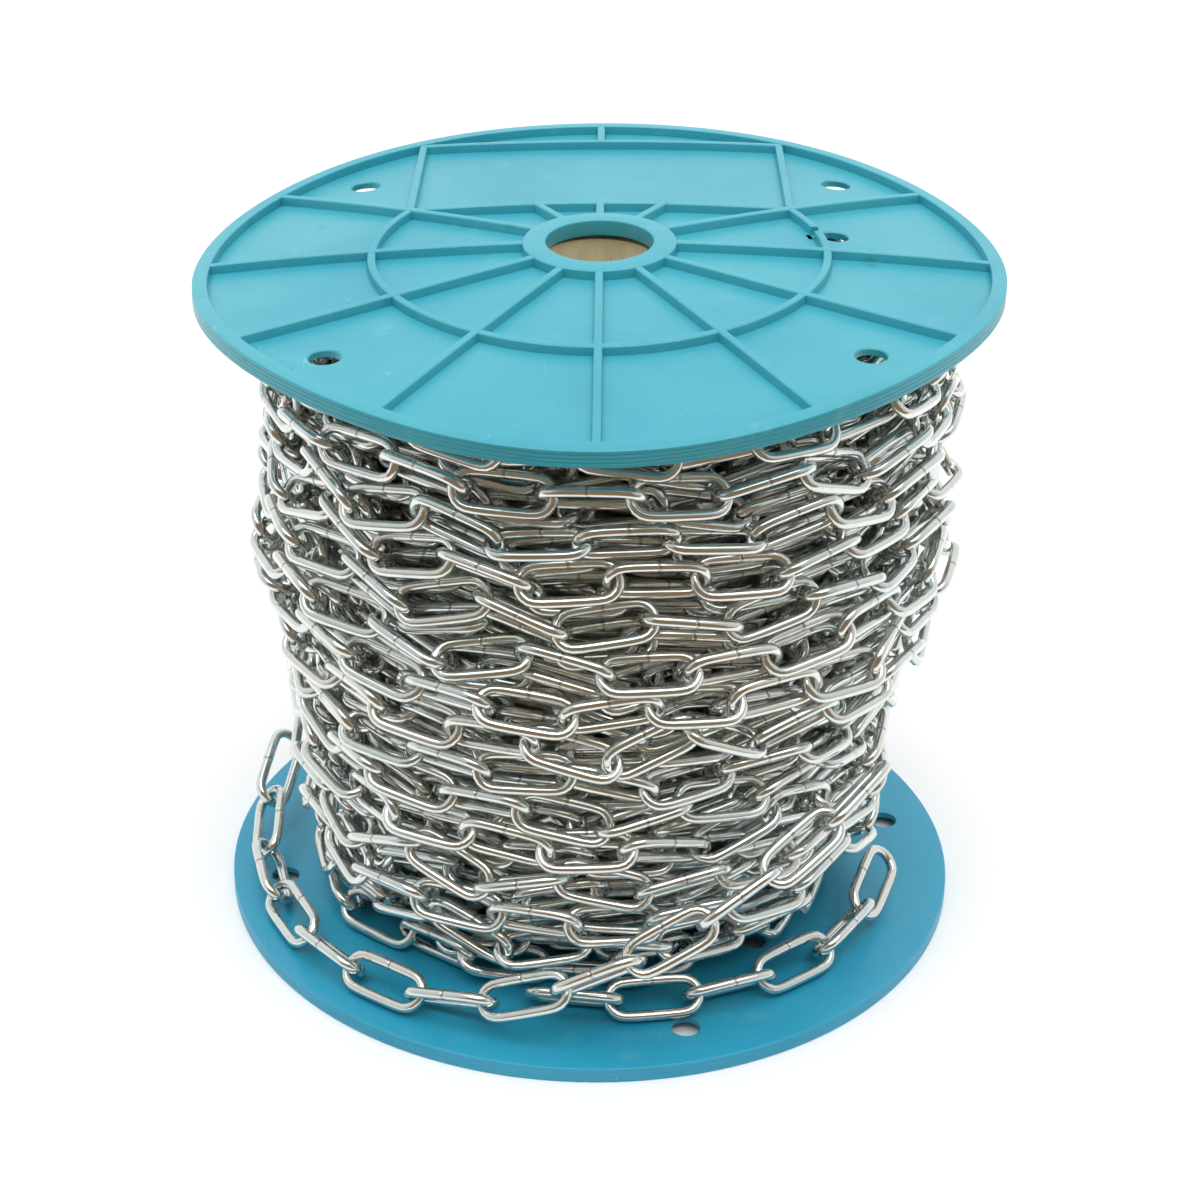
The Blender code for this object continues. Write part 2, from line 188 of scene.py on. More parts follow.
def carried(section: Array, path: Array) -> tuple[Array, Array, list[list[int]]]:
    """Upright section carried along a level path: point = path + across * side + height * up.

    Args:
        section: array of shape (points, 2), of (across, height).
        path: array of shape (stations, 2), in plan.

    Returns:
        The points, the quads and the two end caps.
    """
    along = np.gradient(path, axis=0)
    along /= np.linalg.norm(along, axis=1, keepdims=True)
    side = np.stack([-along[:, 1], along[:, 0]], axis=1)
    plan = path[:, None, :] + section[None, :, :1] * side[:, None, :]
    height = np.broadcast_to(section[:, 1], plan.shape[:2])[..., None]
    count = len(section)
    last = (len(path) - 1) * count
    caps = [list(range(count)), list(range(last, last + count))]
    points = np.concatenate([plan, height], axis=-1).reshape(-1, 3)
    return points, grid_quads(len(path), count, False, True), caps


def rounded(corners: list[tuple[float, float, float]], steps: int = 4) -> Array:
    """Closed outline whose corners are arcs of their tangent circles.

    Args:
        corners: (x, y, radius) of each corner in order, where radius 0 keeps it sharp.
        steps: points on each arc, less one.

    Returns:
        Array of shape (points, 2).
    """
    found = []
    for k, (x, y, radius) in enumerate(corners):
        here = np.array([x, y])
        before, after = (np.array(corners[(k + s) % len(corners)][:2]) - here for s in (-1, 1))
        before, after = before / np.linalg.norm(before), after / np.linalg.norm(after)
        if radius == 0:
            found.append(here[None, :])
            continue
        half = math.acos(float(np.clip(before @ after, -1, 1))) / 2
        middle = before + after
        centre = here + middle / np.linalg.norm(middle) * radius / math.sin(half)
        reach = radius / math.tan(half)
        start, stop = here + before * reach - centre, here + after * reach - centre
        first, last = (math.atan2(p[1], p[0]) for p in (start, stop))
        sweep = (last - first + math.pi) % math.tau - math.pi
        turn = first + np.linspace(0.0, sweep, steps + 1)
        found.append(centre + radius * np.stack([np.cos(turn), np.sin(turn)], axis=1))
    return np.concatenate(found)


def dense(outline: Array, step: float) -> Array:
    """Closed outline with points added evenly along each side.

    Args:
        outline: array of shape (points, 2).
        step: the longest distance between two points.

    Returns:
        Array of shape (points, 2).
    """
    found = []
    for here, there in zip(outline, np.roll(outline, -1, axis=0)):
        parts = max(1, math.ceil(float(np.linalg.norm(there - here)) / step))
        found.append(here + (there - here) * (np.arange(parts) / parts)[:, None])
    return np.concatenate(found)


def polar(radius: float, degrees: float) -> Array:
    """Point in plan at a radius and an angle from +X."""
    angle = math.radians(degrees)
    return np.array([radius * math.cos(angle), radius * math.sin(angle)])


def add_piece(name: str, mesh: bpy.types.Mesh, finish: bpy.types.Material,
              stands_for: tuple[str, ...] = (), crease: float = 40.0) -> bpy.types.Object:
    """Makes a mesh a piece that rides on the reel's body.

    Args:
        name: the piece's name.
        mesh: its mesh, already in place.
        finish: its material.
        stands_for: CAD nodes that it replaces.
        crease: angle in degrees above which an edge is shaded sharp.

    Returns:
        The new object.
    """
    piece = bpy.data.objects.new(name, mesh)
    bpy.context.scene.collection.objects.link(piece)
    mesh.materials.clear()
    mesh.materials.append(finish)
    mesh.shade_smooth()
    mesh.set_sharp_from_angle(angle=math.radians(crease))
    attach(piece, ROOT)
    if stands_for:
        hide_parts(*stands_for)
    LOG.info("%s: %d faces", name, len(mesh.polygons))
    return piece


# Shader node helpers and the effects that several finishes share


@dataclass
class Nodes:
    """A node tree that is built by short calls."""

    tree: bpy.types.NodeTree

    def add(self, kind: str, settings: dict | None = None, **inputs: object) -> bpy.types.Node:
        """Adds a node.

        Args:
            kind: the node's type name, without ShaderNode in front.
            settings: properties of the node, by name.
            inputs: values or sockets for its inputs, by name with _ for a space, or by number as i0, i1.

        Returns:
            The node.
        """
        node = self.tree.nodes.new("ShaderNode" + kind)
        for key, value in (settings or {}).items():
            setattr(node, key, value)
        self.feed(node, inputs)
        return node

    def feed(self, node: bpy.types.Node, inputs: dict) -> None:
        """Sets or links inputs of a node.

        Args:
            node: the node.
            inputs: values or sockets, named as in add.
        """
        for key, value in inputs.items():
            numbered = key[0] == "i" and key[1:].isdigit()
            socket = node.inputs[int(key[1:])] if numbered else node.inputs[key.replace("_", " ")]
            if isinstance(value, bpy.types.NodeSocket):
                self.tree.links.new(value, socket)
            else:
                socket.default_value = value

    def math(self, operation: str, *values: object, clamp: bool = False) -> bpy.types.NodeSocket:
        """Math node's result."""
        inputs = {f"i{k}": value for k, value in enumerate(values)}
        return self.add("Math", {"operation": operation, "use_clamp": clamp}, **inputs).outputs[0]

    def noise(self, vector: object, scale: float, detail: float = 4.0,
              roughness: float = 0.55) -> bpy.types.NodeSocket:
        """Noise value, around 0.5, at a scale in cycles a metre."""
        return self.add("TexNoise", None, Vector=vector, Scale=scale, Detail=detail,
                        Roughness=roughness).outputs["Fac"]

    def ramp(self, value: object, low: float, high: float) -> bpy.types.NodeSocket:
        """Smooth step from 0 where a value is low to 1 where it is high.

        Args:
            value: a value or a socket.
            low: where the step starts.
            high: where it ends.

        Returns:
            The step's socket.
        """
        node = self.add("MapRange", {"interpolation_type": "SMOOTHSTEP"}, Value=value)
        node.inputs["From Min"].default_value = low
        node.inputs["From Max"].default_value = high
        return node.outputs["Result"]

    def mix(self, factor: object, first: object, second: object) -> bpy.types.NodeSocket:
        """Colour between two colours.

        Args:
            factor: share of the second colour.
            first: a colour or a socket.
            second: a colour or a socket.

        Returns:
            The colour's socket.
        """
        node = self.add("Mix", {"data_type": "RGBA"})
        self.feed(node, {"i0": factor, "i6": first, "i7": second})
        return node.outputs[2]

    def scaled(self, vector: object, scale: tuple[float, float, float]) -> bpy.types.NodeSocket:
        """Vector stretched along its axes by a Mapping node."""
        return self.add("Mapping", None, Vector=vector, Scale=scale).outputs["Vector"]


def new_group(name: str, inputs: dict[str, tuple[str, float]],
              outputs: dict[str, str]) -> tuple[Nodes, bpy.types.Node, bpy.types.Node]:
    """Starts a shader node group.

    Args:
        name: the group's name.
        inputs: socket types and defaults by name.
        outputs: socket types by name.

    Returns:
        The group's nodes, its input node and its output node.
    """
    tree = bpy.data.node_groups.new(name, "ShaderNodeTree")
    for key, (kind, default) in inputs.items():
        socket = tree.interface.new_socket(key, in_out="INPUT", socket_type=kind)
        if kind == "NodeSocketFloat":
            socket.default_value = default
    for key, kind in outputs.items():
        tree.interface.new_socket(key, in_out="OUTPUT", socket_type=kind)
    return Nodes(tree), tree.nodes.new("NodeGroupInput"), tree.nodes.new("NodeGroupOutput")


@dataclass
class SharedEffects:
    """Node groups that more than one finish uses, each built once."""

    groups: dict[str, bpy.types.NodeTree] = field(default_factory=dict)

    def place(self, nodes: Nodes, name: str, **inputs: object) -> bpy.types.Node:
        """Puts a shared group into a material.

        Args:
            nodes: the material's nodes.
            name: scratches or mottle.
            inputs: values for the group's inputs.

        Returns:
            The group node.
        """
        if name not in self.groups:
            self.groups[name] = {"scratches": self.scratches, "mottle": self.mottle}[name]()
        node = nodes.tree.nodes.new("ShaderNodeGroup")
        node.node_tree = self.groups[name]
        nodes.feed(node, inputs)
        return node

    def scratches(self) -> bpy.types.NodeTree:
        """Thin scratches: where a noise that is stretched one way crosses its middle value, in patches.

        Returns:
            The group.
        """
        nodes, given, out = new_group("scratches", {
            "Vector": ("NodeSocketVector", 0.0), "Scale": ("NodeSocketFloat", 60.0),
            "Width": ("NodeSocketFloat", 0.01), "Amount": ("NodeSocketFloat", 0.5)},
            {"Mask": "NodeSocketFloat"})
        total = None
        for turn, shift in ((0.3, 0.0), (1.4, 3.7), (2.5, 7.1)):
            place = nodes.add("Mapping", None, Vector=given.outputs["Vector"], Rotation=(0.2, 0.1, turn),
                              Location=(shift, shift, 0.0), Scale=(1.0, 0.12, 0.5)).outputs["Vector"]
            wave = nodes.noise(place, 1.0, 1.0)
            nodes.tree.links.new(given.outputs["Scale"], wave.node.inputs["Scale"])
            edge = nodes.math("ABSOLUTE", nodes.math("SUBTRACT", wave, 0.5))
            line = nodes.math("LESS_THAN", edge, given.outputs["Width"])
            total = line if total is None else nodes.math("MAXIMUM", total, line)
        patch = nodes.noise(given.outputs["Vector"], 22.0, 3.0)
        patch = nodes.math("LESS_THAN", patch, given.outputs["Amount"])
        nodes.tree.links.new(nodes.math("MULTIPLY", total, patch), out.inputs["Mask"])
        return nodes.tree

    def mottle(self) -> bpy.types.NodeTree:
        """Two sizes of noise: a broad one as Fac, for tone, and a fine one as Grain, for relief.

        Returns:
            The group.
        """
        nodes, given, out = new_group("mottle", {
            "Vector": ("NodeSocketVector", 0.0), "Broad Scale": ("NodeSocketFloat", 12.0),
            "Fine Scale": ("NodeSocketFloat", 900.0)},
            {"Fac": "NodeSocketFloat", "Grain": "NodeSocketFloat"})
        broad = nodes.noise(given.outputs["Vector"], 1.0, 5.0)
        fine = nodes.noise(given.outputs["Vector"], 1.0, 2.0)
        nodes.tree.links.new(given.outputs["Broad Scale"], broad.node.inputs["Scale"])
        nodes.tree.links.new(given.outputs["Fine Scale"], fine.node.inputs["Scale"])
        nodes.tree.links.new(broad, out.inputs["Fac"])
        nodes.tree.links.new(fine, out.inputs["Grain"])
        return nodes.tree


def new_material(name: str) -> tuple[bpy.types.Material, Nodes, bpy.types.Node]:
    """Starts a Principled material.

    Args:
        name: the material's name.

    Returns:
        The material, its nodes and its shader.
    """
    made = bpy.data.materials.new(name)
    made.use_nodes = True
    return made, Nodes(made.node_tree), made.node_tree.nodes["Principled BSDF"]


def rgba(colour: tuple[float, float, float]) -> tuple[float, float, float, float]:
    """Colour with full alpha."""
    return (*colour, 1.0)


@dataclass(frozen=True)
class BluePlastic:
    """Moulded blue plastic: scuffed, a little dusty, with a stained patch here and there."""

    effects: SharedEffects
    name: str = "blue_plastic"
    # The default base and deep tones are the upper flange's. They are paler than the lower flange's copy:
    # painted sheen from the top light.
    base: tuple[float, float, float] = (0.050, 0.365, 0.450)
    deep: tuple[float, float, float] = (0.034, 0.325, 0.415)
    dust: tuple[float, float, float] = (0.55, 0.72, 0.74)
    stain: tuple[float, float, float] = (0.020, 0.260, 0.220)
    roughness: float = 0.36

    def build(self) -> bpy.types.Material:
        """Builds the material.

        Returns:
            The material.
        """
        made, nodes, shader = new_material(self.name)
        spot = nodes.add("TexCoord").outputs["Object"]
        mottle = self.effects.place(nodes, "mottle", Vector=spot, Broad_Scale=14.0, Fine_Scale=1600.0)
        colour = nodes.mix(nodes.ramp(mottle.outputs["Fac"], 0.35, 0.7), rgba(self.base), rgba(self.deep))
        stain = nodes.ramp(nodes.noise(nodes.scaled(spot, (1.0, 1.0, 3.0)), 31.0, 3.0), 0.68, 0.74)
        colour = nodes.mix(nodes.math("MULTIPLY", stain, 0.7), colour, rgba(self.stain))
        haze = nodes.ramp(nodes.noise(spot, 48.0, 6.0, 0.7), 0.56, 0.85)
        scratch = self.effects.place(nodes, "scratches", Vector=spot, Scale=70.0, Width=0.002, Amount=0.36)
        speck = nodes.ramp(nodes.noise(spot, 420.0, 2.0), 0.735, 0.77)
        worn = nodes.math("MAXIMUM", nodes.math("MULTIPLY", haze, 0.16),
                          nodes.math("MULTIPLY", scratch.outputs["Mask"], 0.22))
        worn = nodes.math("MAXIMUM", worn, nodes.math("MULTIPLY", speck, 0.35))
        nodes.feed(shader, {"Base_Color": nodes.mix(worn, colour, rgba(self.dust))})
        rough = nodes.math("MULTIPLY_ADD", mottle.outputs["Fac"], 0.16, self.roughness - 0.08)
        nodes.feed(shader, {"Roughness": nodes.math("MULTIPLY_ADD", worn, 0.4, rough, clamp=True)})
        relief = nodes.math("MULTIPLY_ADD", scratch.outputs["Mask"], -0.6, mottle.outputs["Grain"])
        bump = nodes.add("Bump", None, Strength=0.16, Distance=0.0001, Height=relief)
        nodes.feed(shader, {"Normal": bump.outputs["Normal"]})
        shader.inputs["IOR"].default_value = 1.5
        return made


@dataclass(frozen=True)
class ZincPlate:
    """Bright zinc plate on drawn wire: glossy, each link a little warmer or cooler, with a welded joint.

    The link's UV map runs once along the wire in u and once round it in v, and its tone attribute is one
    random number from 0 to 1 for each link.
    """

    effects: SharedEffects
    weld_place: float
    wire_length: float
    name: str = "zinc_chain"
    cool: tuple[float, float, float] = (0.66, 0.71, 0.69)
    warm: tuple[float, float, float] = (0.71, 0.71, 0.67)
    dull: tuple[float, float, float] = (0.34, 0.33, 0.30)
    seam: tuple[float, float, float] = (0.16, 0.13, 0.11)
    roughness: float = 0.15
    weld_width: float = 0.00060

    def build(self) -> bpy.types.Material:
        """Builds the material.

        Returns:
            The material.
        """
        made, nodes, shader = new_material(self.name)
        spot = nodes.add("TexCoord").outputs["Object"]
        tone = nodes.add("Attribute", {"attribute_name": "tone"}).outputs["Fac"]
        strip = nodes.add("UVMap", {"uv_map": "wire"}).outputs["UV"]
        along = nodes.add("SeparateXYZ", None, Vector=strip).outputs["X"]
        colour = nodes.mix(tone, rgba(self.cool), rgba(self.warm))
        mottle = self.effects.place(nodes, "mottle", Vector=spot, Broad_Scale=160.0, Fine_Scale=2400.0)
        dull = nodes.ramp(mottle.outputs["Fac"], 0.55, 0.80)
        colour = nodes.mix(nodes.math("MULTIPLY", dull, 0.35), colour, rgba(self.dull))
        away = nodes.math("ABSOLUTE", nodes.math("SUBTRACT", along, self.weld_place))
        # Dark seam colour at each link's welded joint. On the packed turns, whose u is the weld's place
        # everywhere, it is painted shade all over.
        weld_and_deep_shade = nodes.math("SUBTRACT", 1.0, nodes.ramp(away, 0.3 * self.weld_width / self.wire_length,
                                                      self.weld_width / self.wire_length))
        colour = nodes.mix(nodes.math("MULTIPLY", weld_and_deep_shade, 0.45), colour, rgba(self.seam))
        nodes.feed(shader, {"Base_Color": colour})
        shader.inputs["Metallic"].default_value = 1.0
        streaks = nodes.noise(nodes.scaled(strip, (6.0, 60.0, 1.0)), 1.0, 3.0)
        rough = nodes.math("MULTIPLY_ADD", streaks, 0.10, self.roughness - 0.05)
        nodes.feed(shader, {"Roughness": nodes.math("MULTIPLY_ADD", dull, 0.15, rough)})
        relief = nodes.math("MULTIPLY_ADD", weld_and_deep_shade, -3.0, nodes.math("MULTIPLY", streaks, 0.5))
        relief = nodes.math("MULTIPLY_ADD", mottle.outputs["Grain"], 0.12, relief)
        bump = nodes.add("Bump", None, Strength=0.35, Distance=0.00012, Height=relief)
        nodes.feed(shader, {"Normal": bump.outputs["Normal"]})
        return made


@dataclass(frozen=True)
class Cardboard:
    """Spirally wound cardboard: fibres, a few dark specks and broad lighter and darker patches."""

    effects: SharedEffects
    name: str = "cardboard"
    # The base is paler than the cardboard's own colour: painted light standing in for the top light that
    # falls into the bore.
    base: tuple[float, float, float] = (0.82, 0.72, 0.50)
    dark: tuple[float, float, float] = (0.66, 0.55, 0.36)
    speck: tuple[float, float, float] = (0.10, 0.07, 0.05)
    roughness: float = 0.85

    def build(self) -> bpy.types.Material:
        """Builds the material.

        Returns:
            The material.
        """
        made, nodes, shader = new_material(self.name)
        spot = nodes.add("TexCoord").outputs["Object"]
        mottle = self.effects.place(nodes, "mottle", Vector=nodes.scaled(spot, (1.0, 1.0, 0.35)),
                                    Broad_Scale=90.0, Fine_Scale=1400.0)
        colour = nodes.mix(nodes.ramp(mottle.outputs["Fac"], 0.35, 0.75), rgba(self.base), rgba(self.dark))
        speck = nodes.ramp(nodes.noise(spot, 330.0, 1.0), 0.72, 0.75)
        nodes.feed(shader, {"Base_Color": nodes.mix(speck, colour, rgba(self.speck))})
        shader.inputs["Roughness"].default_value = self.roughness
        bump = nodes.add("Bump", None, Strength=0.5, Distance=0.0002, Height=mottle.outputs["Grain"])
        nodes.feed(shader, {"Normal": bump.outputs["Normal"]})
        return made


# The spool


class Side(Enum):
    """The two flanges of the spool."""

    UPPER = "upper_flange"
    LOWER = "lower_flange"


@dataclass
class Sag:
    """How far the upper flange has bent down, as shares of its radius.

    A cone and a dome that lower its rim, a tilt, and a three-lobed and four-lobed wave round the rim.
    """

    radius: float = 0.1700
    cone: float = -0.0329
    dome: tuple[float, float] = (-0.0289, -0.0311)
    tilt: tuple[float, float] = (0.0202, 0.0255)
    three_lobes: float = -0.0154
    four_lobes: float = -0.0074

    def lift(self, x: Array, y: Array) -> Array:
        """Height that the flange has moved up, negative for down.

        With u, v = x, y as shares of the radius and r, t their polar form, the height is cone r +
        dome_x u^2 + dome_y v^2 + tilt_x u + tilt_y v + three_lobes r^3 sin 3t + four_lobes r^4 cos 4t.

        Args:
            x: places along X.
            y: places along Y.

        Returns:
            Heights, in metres.
        """
        u, v = x / self.radius, y / self.radius
        r, t = np.hypot(u, v), np.arctan2(v, u)
        drop = self.cone * r + self.dome[0] * u * u + self.dome[1] * v * v
        tilt = self.tilt[0] * u + self.tilt[1] * v
        wave = self.three_lobes * r**3 * np.sin(3 * t) + self.four_lobes * r**4 * np.cos(4 * t)
        return self.radius * (drop + tilt + wave)


@dataclass
class Flange:
    """One moulded flange: plate, rim, hub, ribs, holes and the lip that holds the tube.

    It is made with its plate on z = 0 and its ribs up, and then put in its place.
    """

    side: Side
    finish: bpy.types.Material
    radius: float
    turn: float = 0.0
    depth: float = 0.0071
    plate: float = 0.0030
    rim_width: float = 0.0064
    hub_radius: float = 0.0324
    bore_radius: float = 0.0226
    ring_radius: float = 0.0955
    panel_back: float = 0.1400
    lip_depth: float = 0.0045
    lip_radii: tuple[float, float] = (0.0308, 0.0338)
    rib_width: float = 0.0040
    rib_draft: float = 0.0003
    edge_round: float = 0.0006
    hole_circle: float = 0.1430
    hole_radius: float = 0.0064
    hole_angles: tuple[int, ...] = (42, 138, 222, 318)
    end_hole: tuple[float, float, float] = (0.1040, 14.3, 0.0058)
    slot_width: float = 0.0050
    steps: int = 144
    mesh_step: float = 0.0080
    ridges: tuple[float, ...] = (0.0020, 0.0037, 0.0053)
    ridge_size: float = 0.00022
    hole_bevel: float = 0.0005
    hole_steps: int = 32
    rib_overrun: float = 0.0012

    def profile(self) -> Array:
        """Turned section: hub, plate, rim with moulding ridges, and the lip, with rounded edges.

        Returns:
            Array of shape (points, 2), of (radius, height).
        """
        e = self.edge_round
        rim, lip_in, lip_out = self.radius - self.rim_width, *self.lip_radii
        side = [(self.radius, self.depth, e)]
        for z in reversed(self.ridges):
            side += [(self.radius, z + self.ridge_size, 0.0), (self.radius - self.ridge_size, z, 0.0),
                     (self.radius, z - self.ridge_size, 0.0)]
        outline = rounded([
            (self.bore_radius, self.depth, e), (self.hub_radius, self.depth, e),
            (self.hub_radius, self.plate, 0.0), (rim, self.plate, 0.0), (rim, self.depth, e), *side,
            (self.radius, 0.0, e), (lip_out, 0.0, 0.0), (lip_out, -self.lip_depth, e),
            (lip_in, -self.lip_depth, e), (lip_in, 0.0, 0.0), (self.bore_radius, 0.0, e)])
        return dense(outline, self.mesh_step)

    def rib_section(self, top: float) -> Array:
        """Section of a rib: narrower at its rounded top than at its foot, inside the plate.

        Args:
            top: height of its top.

        Returns:
            Array of shape (points, 2), of (across, height).
        """
        foot, head = self.rib_width / 2, self.rib_width / 2 - self.rib_draft
        low = self.plate / 2
        return rounded([(-foot, low, 0.0), (foot, low, 0.0), (head, top, self.edge_round),
                        (-head, top, self.edge_round)], 3)

    def rib_paths(self) -> list[tuple[float, Array]]:
        """Paths of all ribs in plan, each with the height of its top.

        Returns:
            Pairs of a height and an array of shape (stations, 2).
        """
        hub = (self.hub_radius + self.bore_radius) / 2
        rim = self.radius - self.rim_width / 2
        radial, frame_top, ring_top = self.depth - 0.0002, self.depth - 0.0003, self.depth - 0.0004
        node = polar(self.ring_radius, 30)
        runs = [(radial, polar(hub, a), polar(rim, a)) for a in (0, 30, *range(150, 360, 30))]
        runs += [(radial, polar(hub, a), polar(node[1] / math.sin(math.radians(a)), a))
                 for a in (60, 90, 120)]
        back, left, right = self.panel_back, -node[0], node[0]
        runs += [(frame_top, np.array([left, node[1]]), np.array([right, node[1]])),
                 (frame_top, np.array([left, back]), np.array([right, back])),
                 (radial, np.array([0.0, back]), np.array([0.0, rim])),
                 (ring_top, np.array([left, node[1]]), np.array([left, back])),
                 (ring_top, np.array([right, node[1]]), np.array([right, back]))]
        found = []
        for top, start, stop in runs:
            overrun = (stop - start) / np.linalg.norm(stop - start) * self.rib_overrun
            start, stop = start - overrun, stop + overrun
            count = max(2, math.ceil(float(np.linalg.norm(stop - start)) / self.mesh_step) + 1)
            found.append((top, start + (stop - start) * np.linspace(0, 1, count)[:, None]))
        turn = np.radians(np.linspace(150, 390, 61))
        found.append((ring_top, self.ring_radius * np.stack([np.cos(turn), np.sin(turn)], axis=1)))
        return found

    def cutters(self) -> list[tuple[Array, Array]]:
        """Closed turned cutters for the holes, with a small bevel at the plate.

        Returns:
            Points and quads of each cutter.
        """
        made = []
        spots = [(self.hole_circle, a, self.hole_radius) for a in self.hole_angles] + [self.end_hole]
        low, high, bevel = -self.depth, 2 * self.depth, self.hole_bevel
        for circle, angle, radius in spots:
            middle = polar(circle, angle)
            wide = radius + bevel
            section = np.array([(radius, low), (radius, -bevel / 2), (radius, self.plate - bevel),
                                (wide, self.plate), (wide, high), (TINY, high), (TINY, low)])
            points, quads = turned(section, self.hole_steps)
            made.append((points + np.array([*middle, 0.0]), quads))
        return made

    def slot_cutter(self) -> tuple[Array, Array]:
        """Box that notches the mid ring beside the chain-end hole.

        Returns:
            Its points and its quads.
        """
        angle = math.radians(self.end_hole[1])
        middle = polar(self.ring_radius, self.end_hole[1])
        corners = np.array([(-1, -1), (1, -1), (1, 1), (-1, 1)]) * 0.5
        corners = corners * np.array([self.rib_width * 2, self.slot_width])
        spin = np.array([[math.cos(angle), math.sin(angle)], [-math.sin(angle), math.cos(angle)]])
        plan = corners @ spin + middle
        levels = np.array([self.plate, 2 * self.depth])
        points = np.array([(*p, z) for z in levels for p in plan])
        sides = grid_quads(2, 4, False, True)
        return points, np.concatenate([sides, [[3, 2, 1, 0]], [[4, 5, 6, 7]]])

    def place(self, points: Array) -> Array:
        """Points moved from the moulding's own frame to the reel's, with the upper flange's sag.

        Args:
            points: array of shape (points, 3).

        Returns:
            The moved points.
        """
        if self.side is Side.UPPER:
            moved = points + np.array([0.0, 0.0, REEL_HEIGHT - self.depth])
            moved[:, 2] += Sag().lift(moved[:, 0], moved[:, 1])
            return moved
        moved = points * np.array([1.0, -1.0, -1.0]) + np.array([0.0, 0.0, self.depth])
        c, s = math.cos(self.turn), math.sin(self.turn)
        return moved @ np.array([[c, s, 0.0], [-s, c, 0.0], [0.0, 0.0, 1.0]])

    def build(self) -> bpy.types.Object:
        """Builds the flange: the turned body with its ribs joined on and its holes cut out.

        Returns:
            The piece.
        """
        body = loose_object(quad_mesh("body", *turned(self.profile(), self.steps)))
        ribs = loose_object(joined_mesh([quad_mesh("rib", *carried(self.rib_section(top), path))
                                         for top, path in self.rib_paths()]))
        cuts = [quad_mesh("cut", *cutter) for cutter in (*self.cutters(), self.slot_cutter())]
        holes = loose_object(joined_mesh(cuts))
        mesh = boolean_result(body, [(ribs, "UNION"), (holes, "DIFFERENCE")])
        points = read_points(mesh)
        mesh.vertices.foreach_set("co", self.place(points).astype(np.float32).ravel())
        mesh.update()
        return add_piece(self.side.value + "_moulding", mesh, self.finish, (self.side.value,))


def read_points(mesh: bpy.types.Mesh) -> Array:
    """A mesh's points as an array of shape (points, 3).

    Args:
        mesh: the mesh.

    Returns:
        The points.
    """
    flat = np.zeros(len(mesh.vertices) * 3, np.float32)
    mesh.vertices.foreach_get("co", flat)
    return flat.reshape(-1, 3).astype(float)


def loose_object(mesh: bpy.types.Mesh) -> bpy.types.Object:
    """Object for a mesh that is only a step on the way to a piece.

    Args:
        mesh: the mesh.

    Returns:
        The new object.
    """
    made = bpy.data.objects.new(mesh.name, mesh)
    bpy.context.scene.collection.objects.link(made)
    return made


def joined_mesh(meshes: list[bpy.types.Mesh]) -> bpy.types.Mesh:
    """One mesh that holds the faces of several.

    Args:
        meshes: the meshes.

    Returns:
        The new mesh.
    """
    whole = bmesh.new()
    for mesh in meshes:
        whole.from_mesh(mesh)
    made = bpy.data.meshes.new(meshes[0].name + "s")
    whole.to_mesh(made)
    whole.free()
    return made


def boolean_result(body: bpy.types.Object,
                   others: list[tuple[bpy.types.Object, str]]) -> bpy.types.Mesh:
    """Mesh of a body after exact Booleans with others, which are removed with it.

    Args:
        body: the object that is worked on.
        others: the other objects, each with UNION or DIFFERENCE.

    Returns:
        The new mesh.
    """
    for other, operation in others:
        step = body.modifiers.new(operation, "BOOLEAN")
        step.object, step.operation, step.solver = other, operation, "EXACT"
        step.use_self = True
    bpy.context.view_layer.update()
    graph = bpy.context.evaluated_depsgraph_get()
    mesh = bpy.data.meshes.new_from_object(body.evaluated_get(graph), depsgraph=graph)
    for made in (body, *(other for other, _ in others)):
        bpy.data.objects.remove(made)
    shape = bmesh.new()
    shape.from_mesh(mesh)
    bmesh.ops.remove_doubles(shape, verts=shape.verts, dist=2 * TINY)
    shape.to_mesh(mesh)
    shape.free()
    return mesh


@dataclass
class Tube:
    """Cardboard tube, with the faint spiral steps of the strip that it is wound from."""

    finish: bpy.types.Material
    inner: float = 0.0250
    outer: float = 0.0300
    low: float = 0.0074
    seam_pitch: float = 0.0550
    seam_depth: float = 0.00025
    steps: int = 96
    rings: int = 60

    def build(self, top: float) -> bpy.types.Object:
        """Builds the tube.

        The radius is inner or outer plus a saw tooth of the seam's phase, z / pitch + turn / 2 pi.

        Args:
            top: height of its upper end.

        Returns:
            The piece.
        """
        turn = np.linspace(0.0, math.tau, self.steps, endpoint=False)[:, None]
        up = np.linspace(self.low, top, self.rings)
        heights = np.concatenate([up, up[::-1]])[None, :]
        walls = np.repeat([self.inner, self.outer], self.rings)[None, :]
        phase = np.mod(heights / self.seam_pitch + turn / math.tau, 1.0)
        radius = walls - self.seam_depth * phase
        heights = np.broadcast_to(heights, radius.shape)
        points = np.stack([radius * np.cos(turn), radius * np.sin(turn), heights], -1)
        mesh = quad_mesh("tube", points.reshape(-1, 3), grid_quads(self.steps, 2 * self.rings, True, True))
        return add_piece("cardboard_core", mesh, self.finish, ("cardboard_tube",))


# The chain


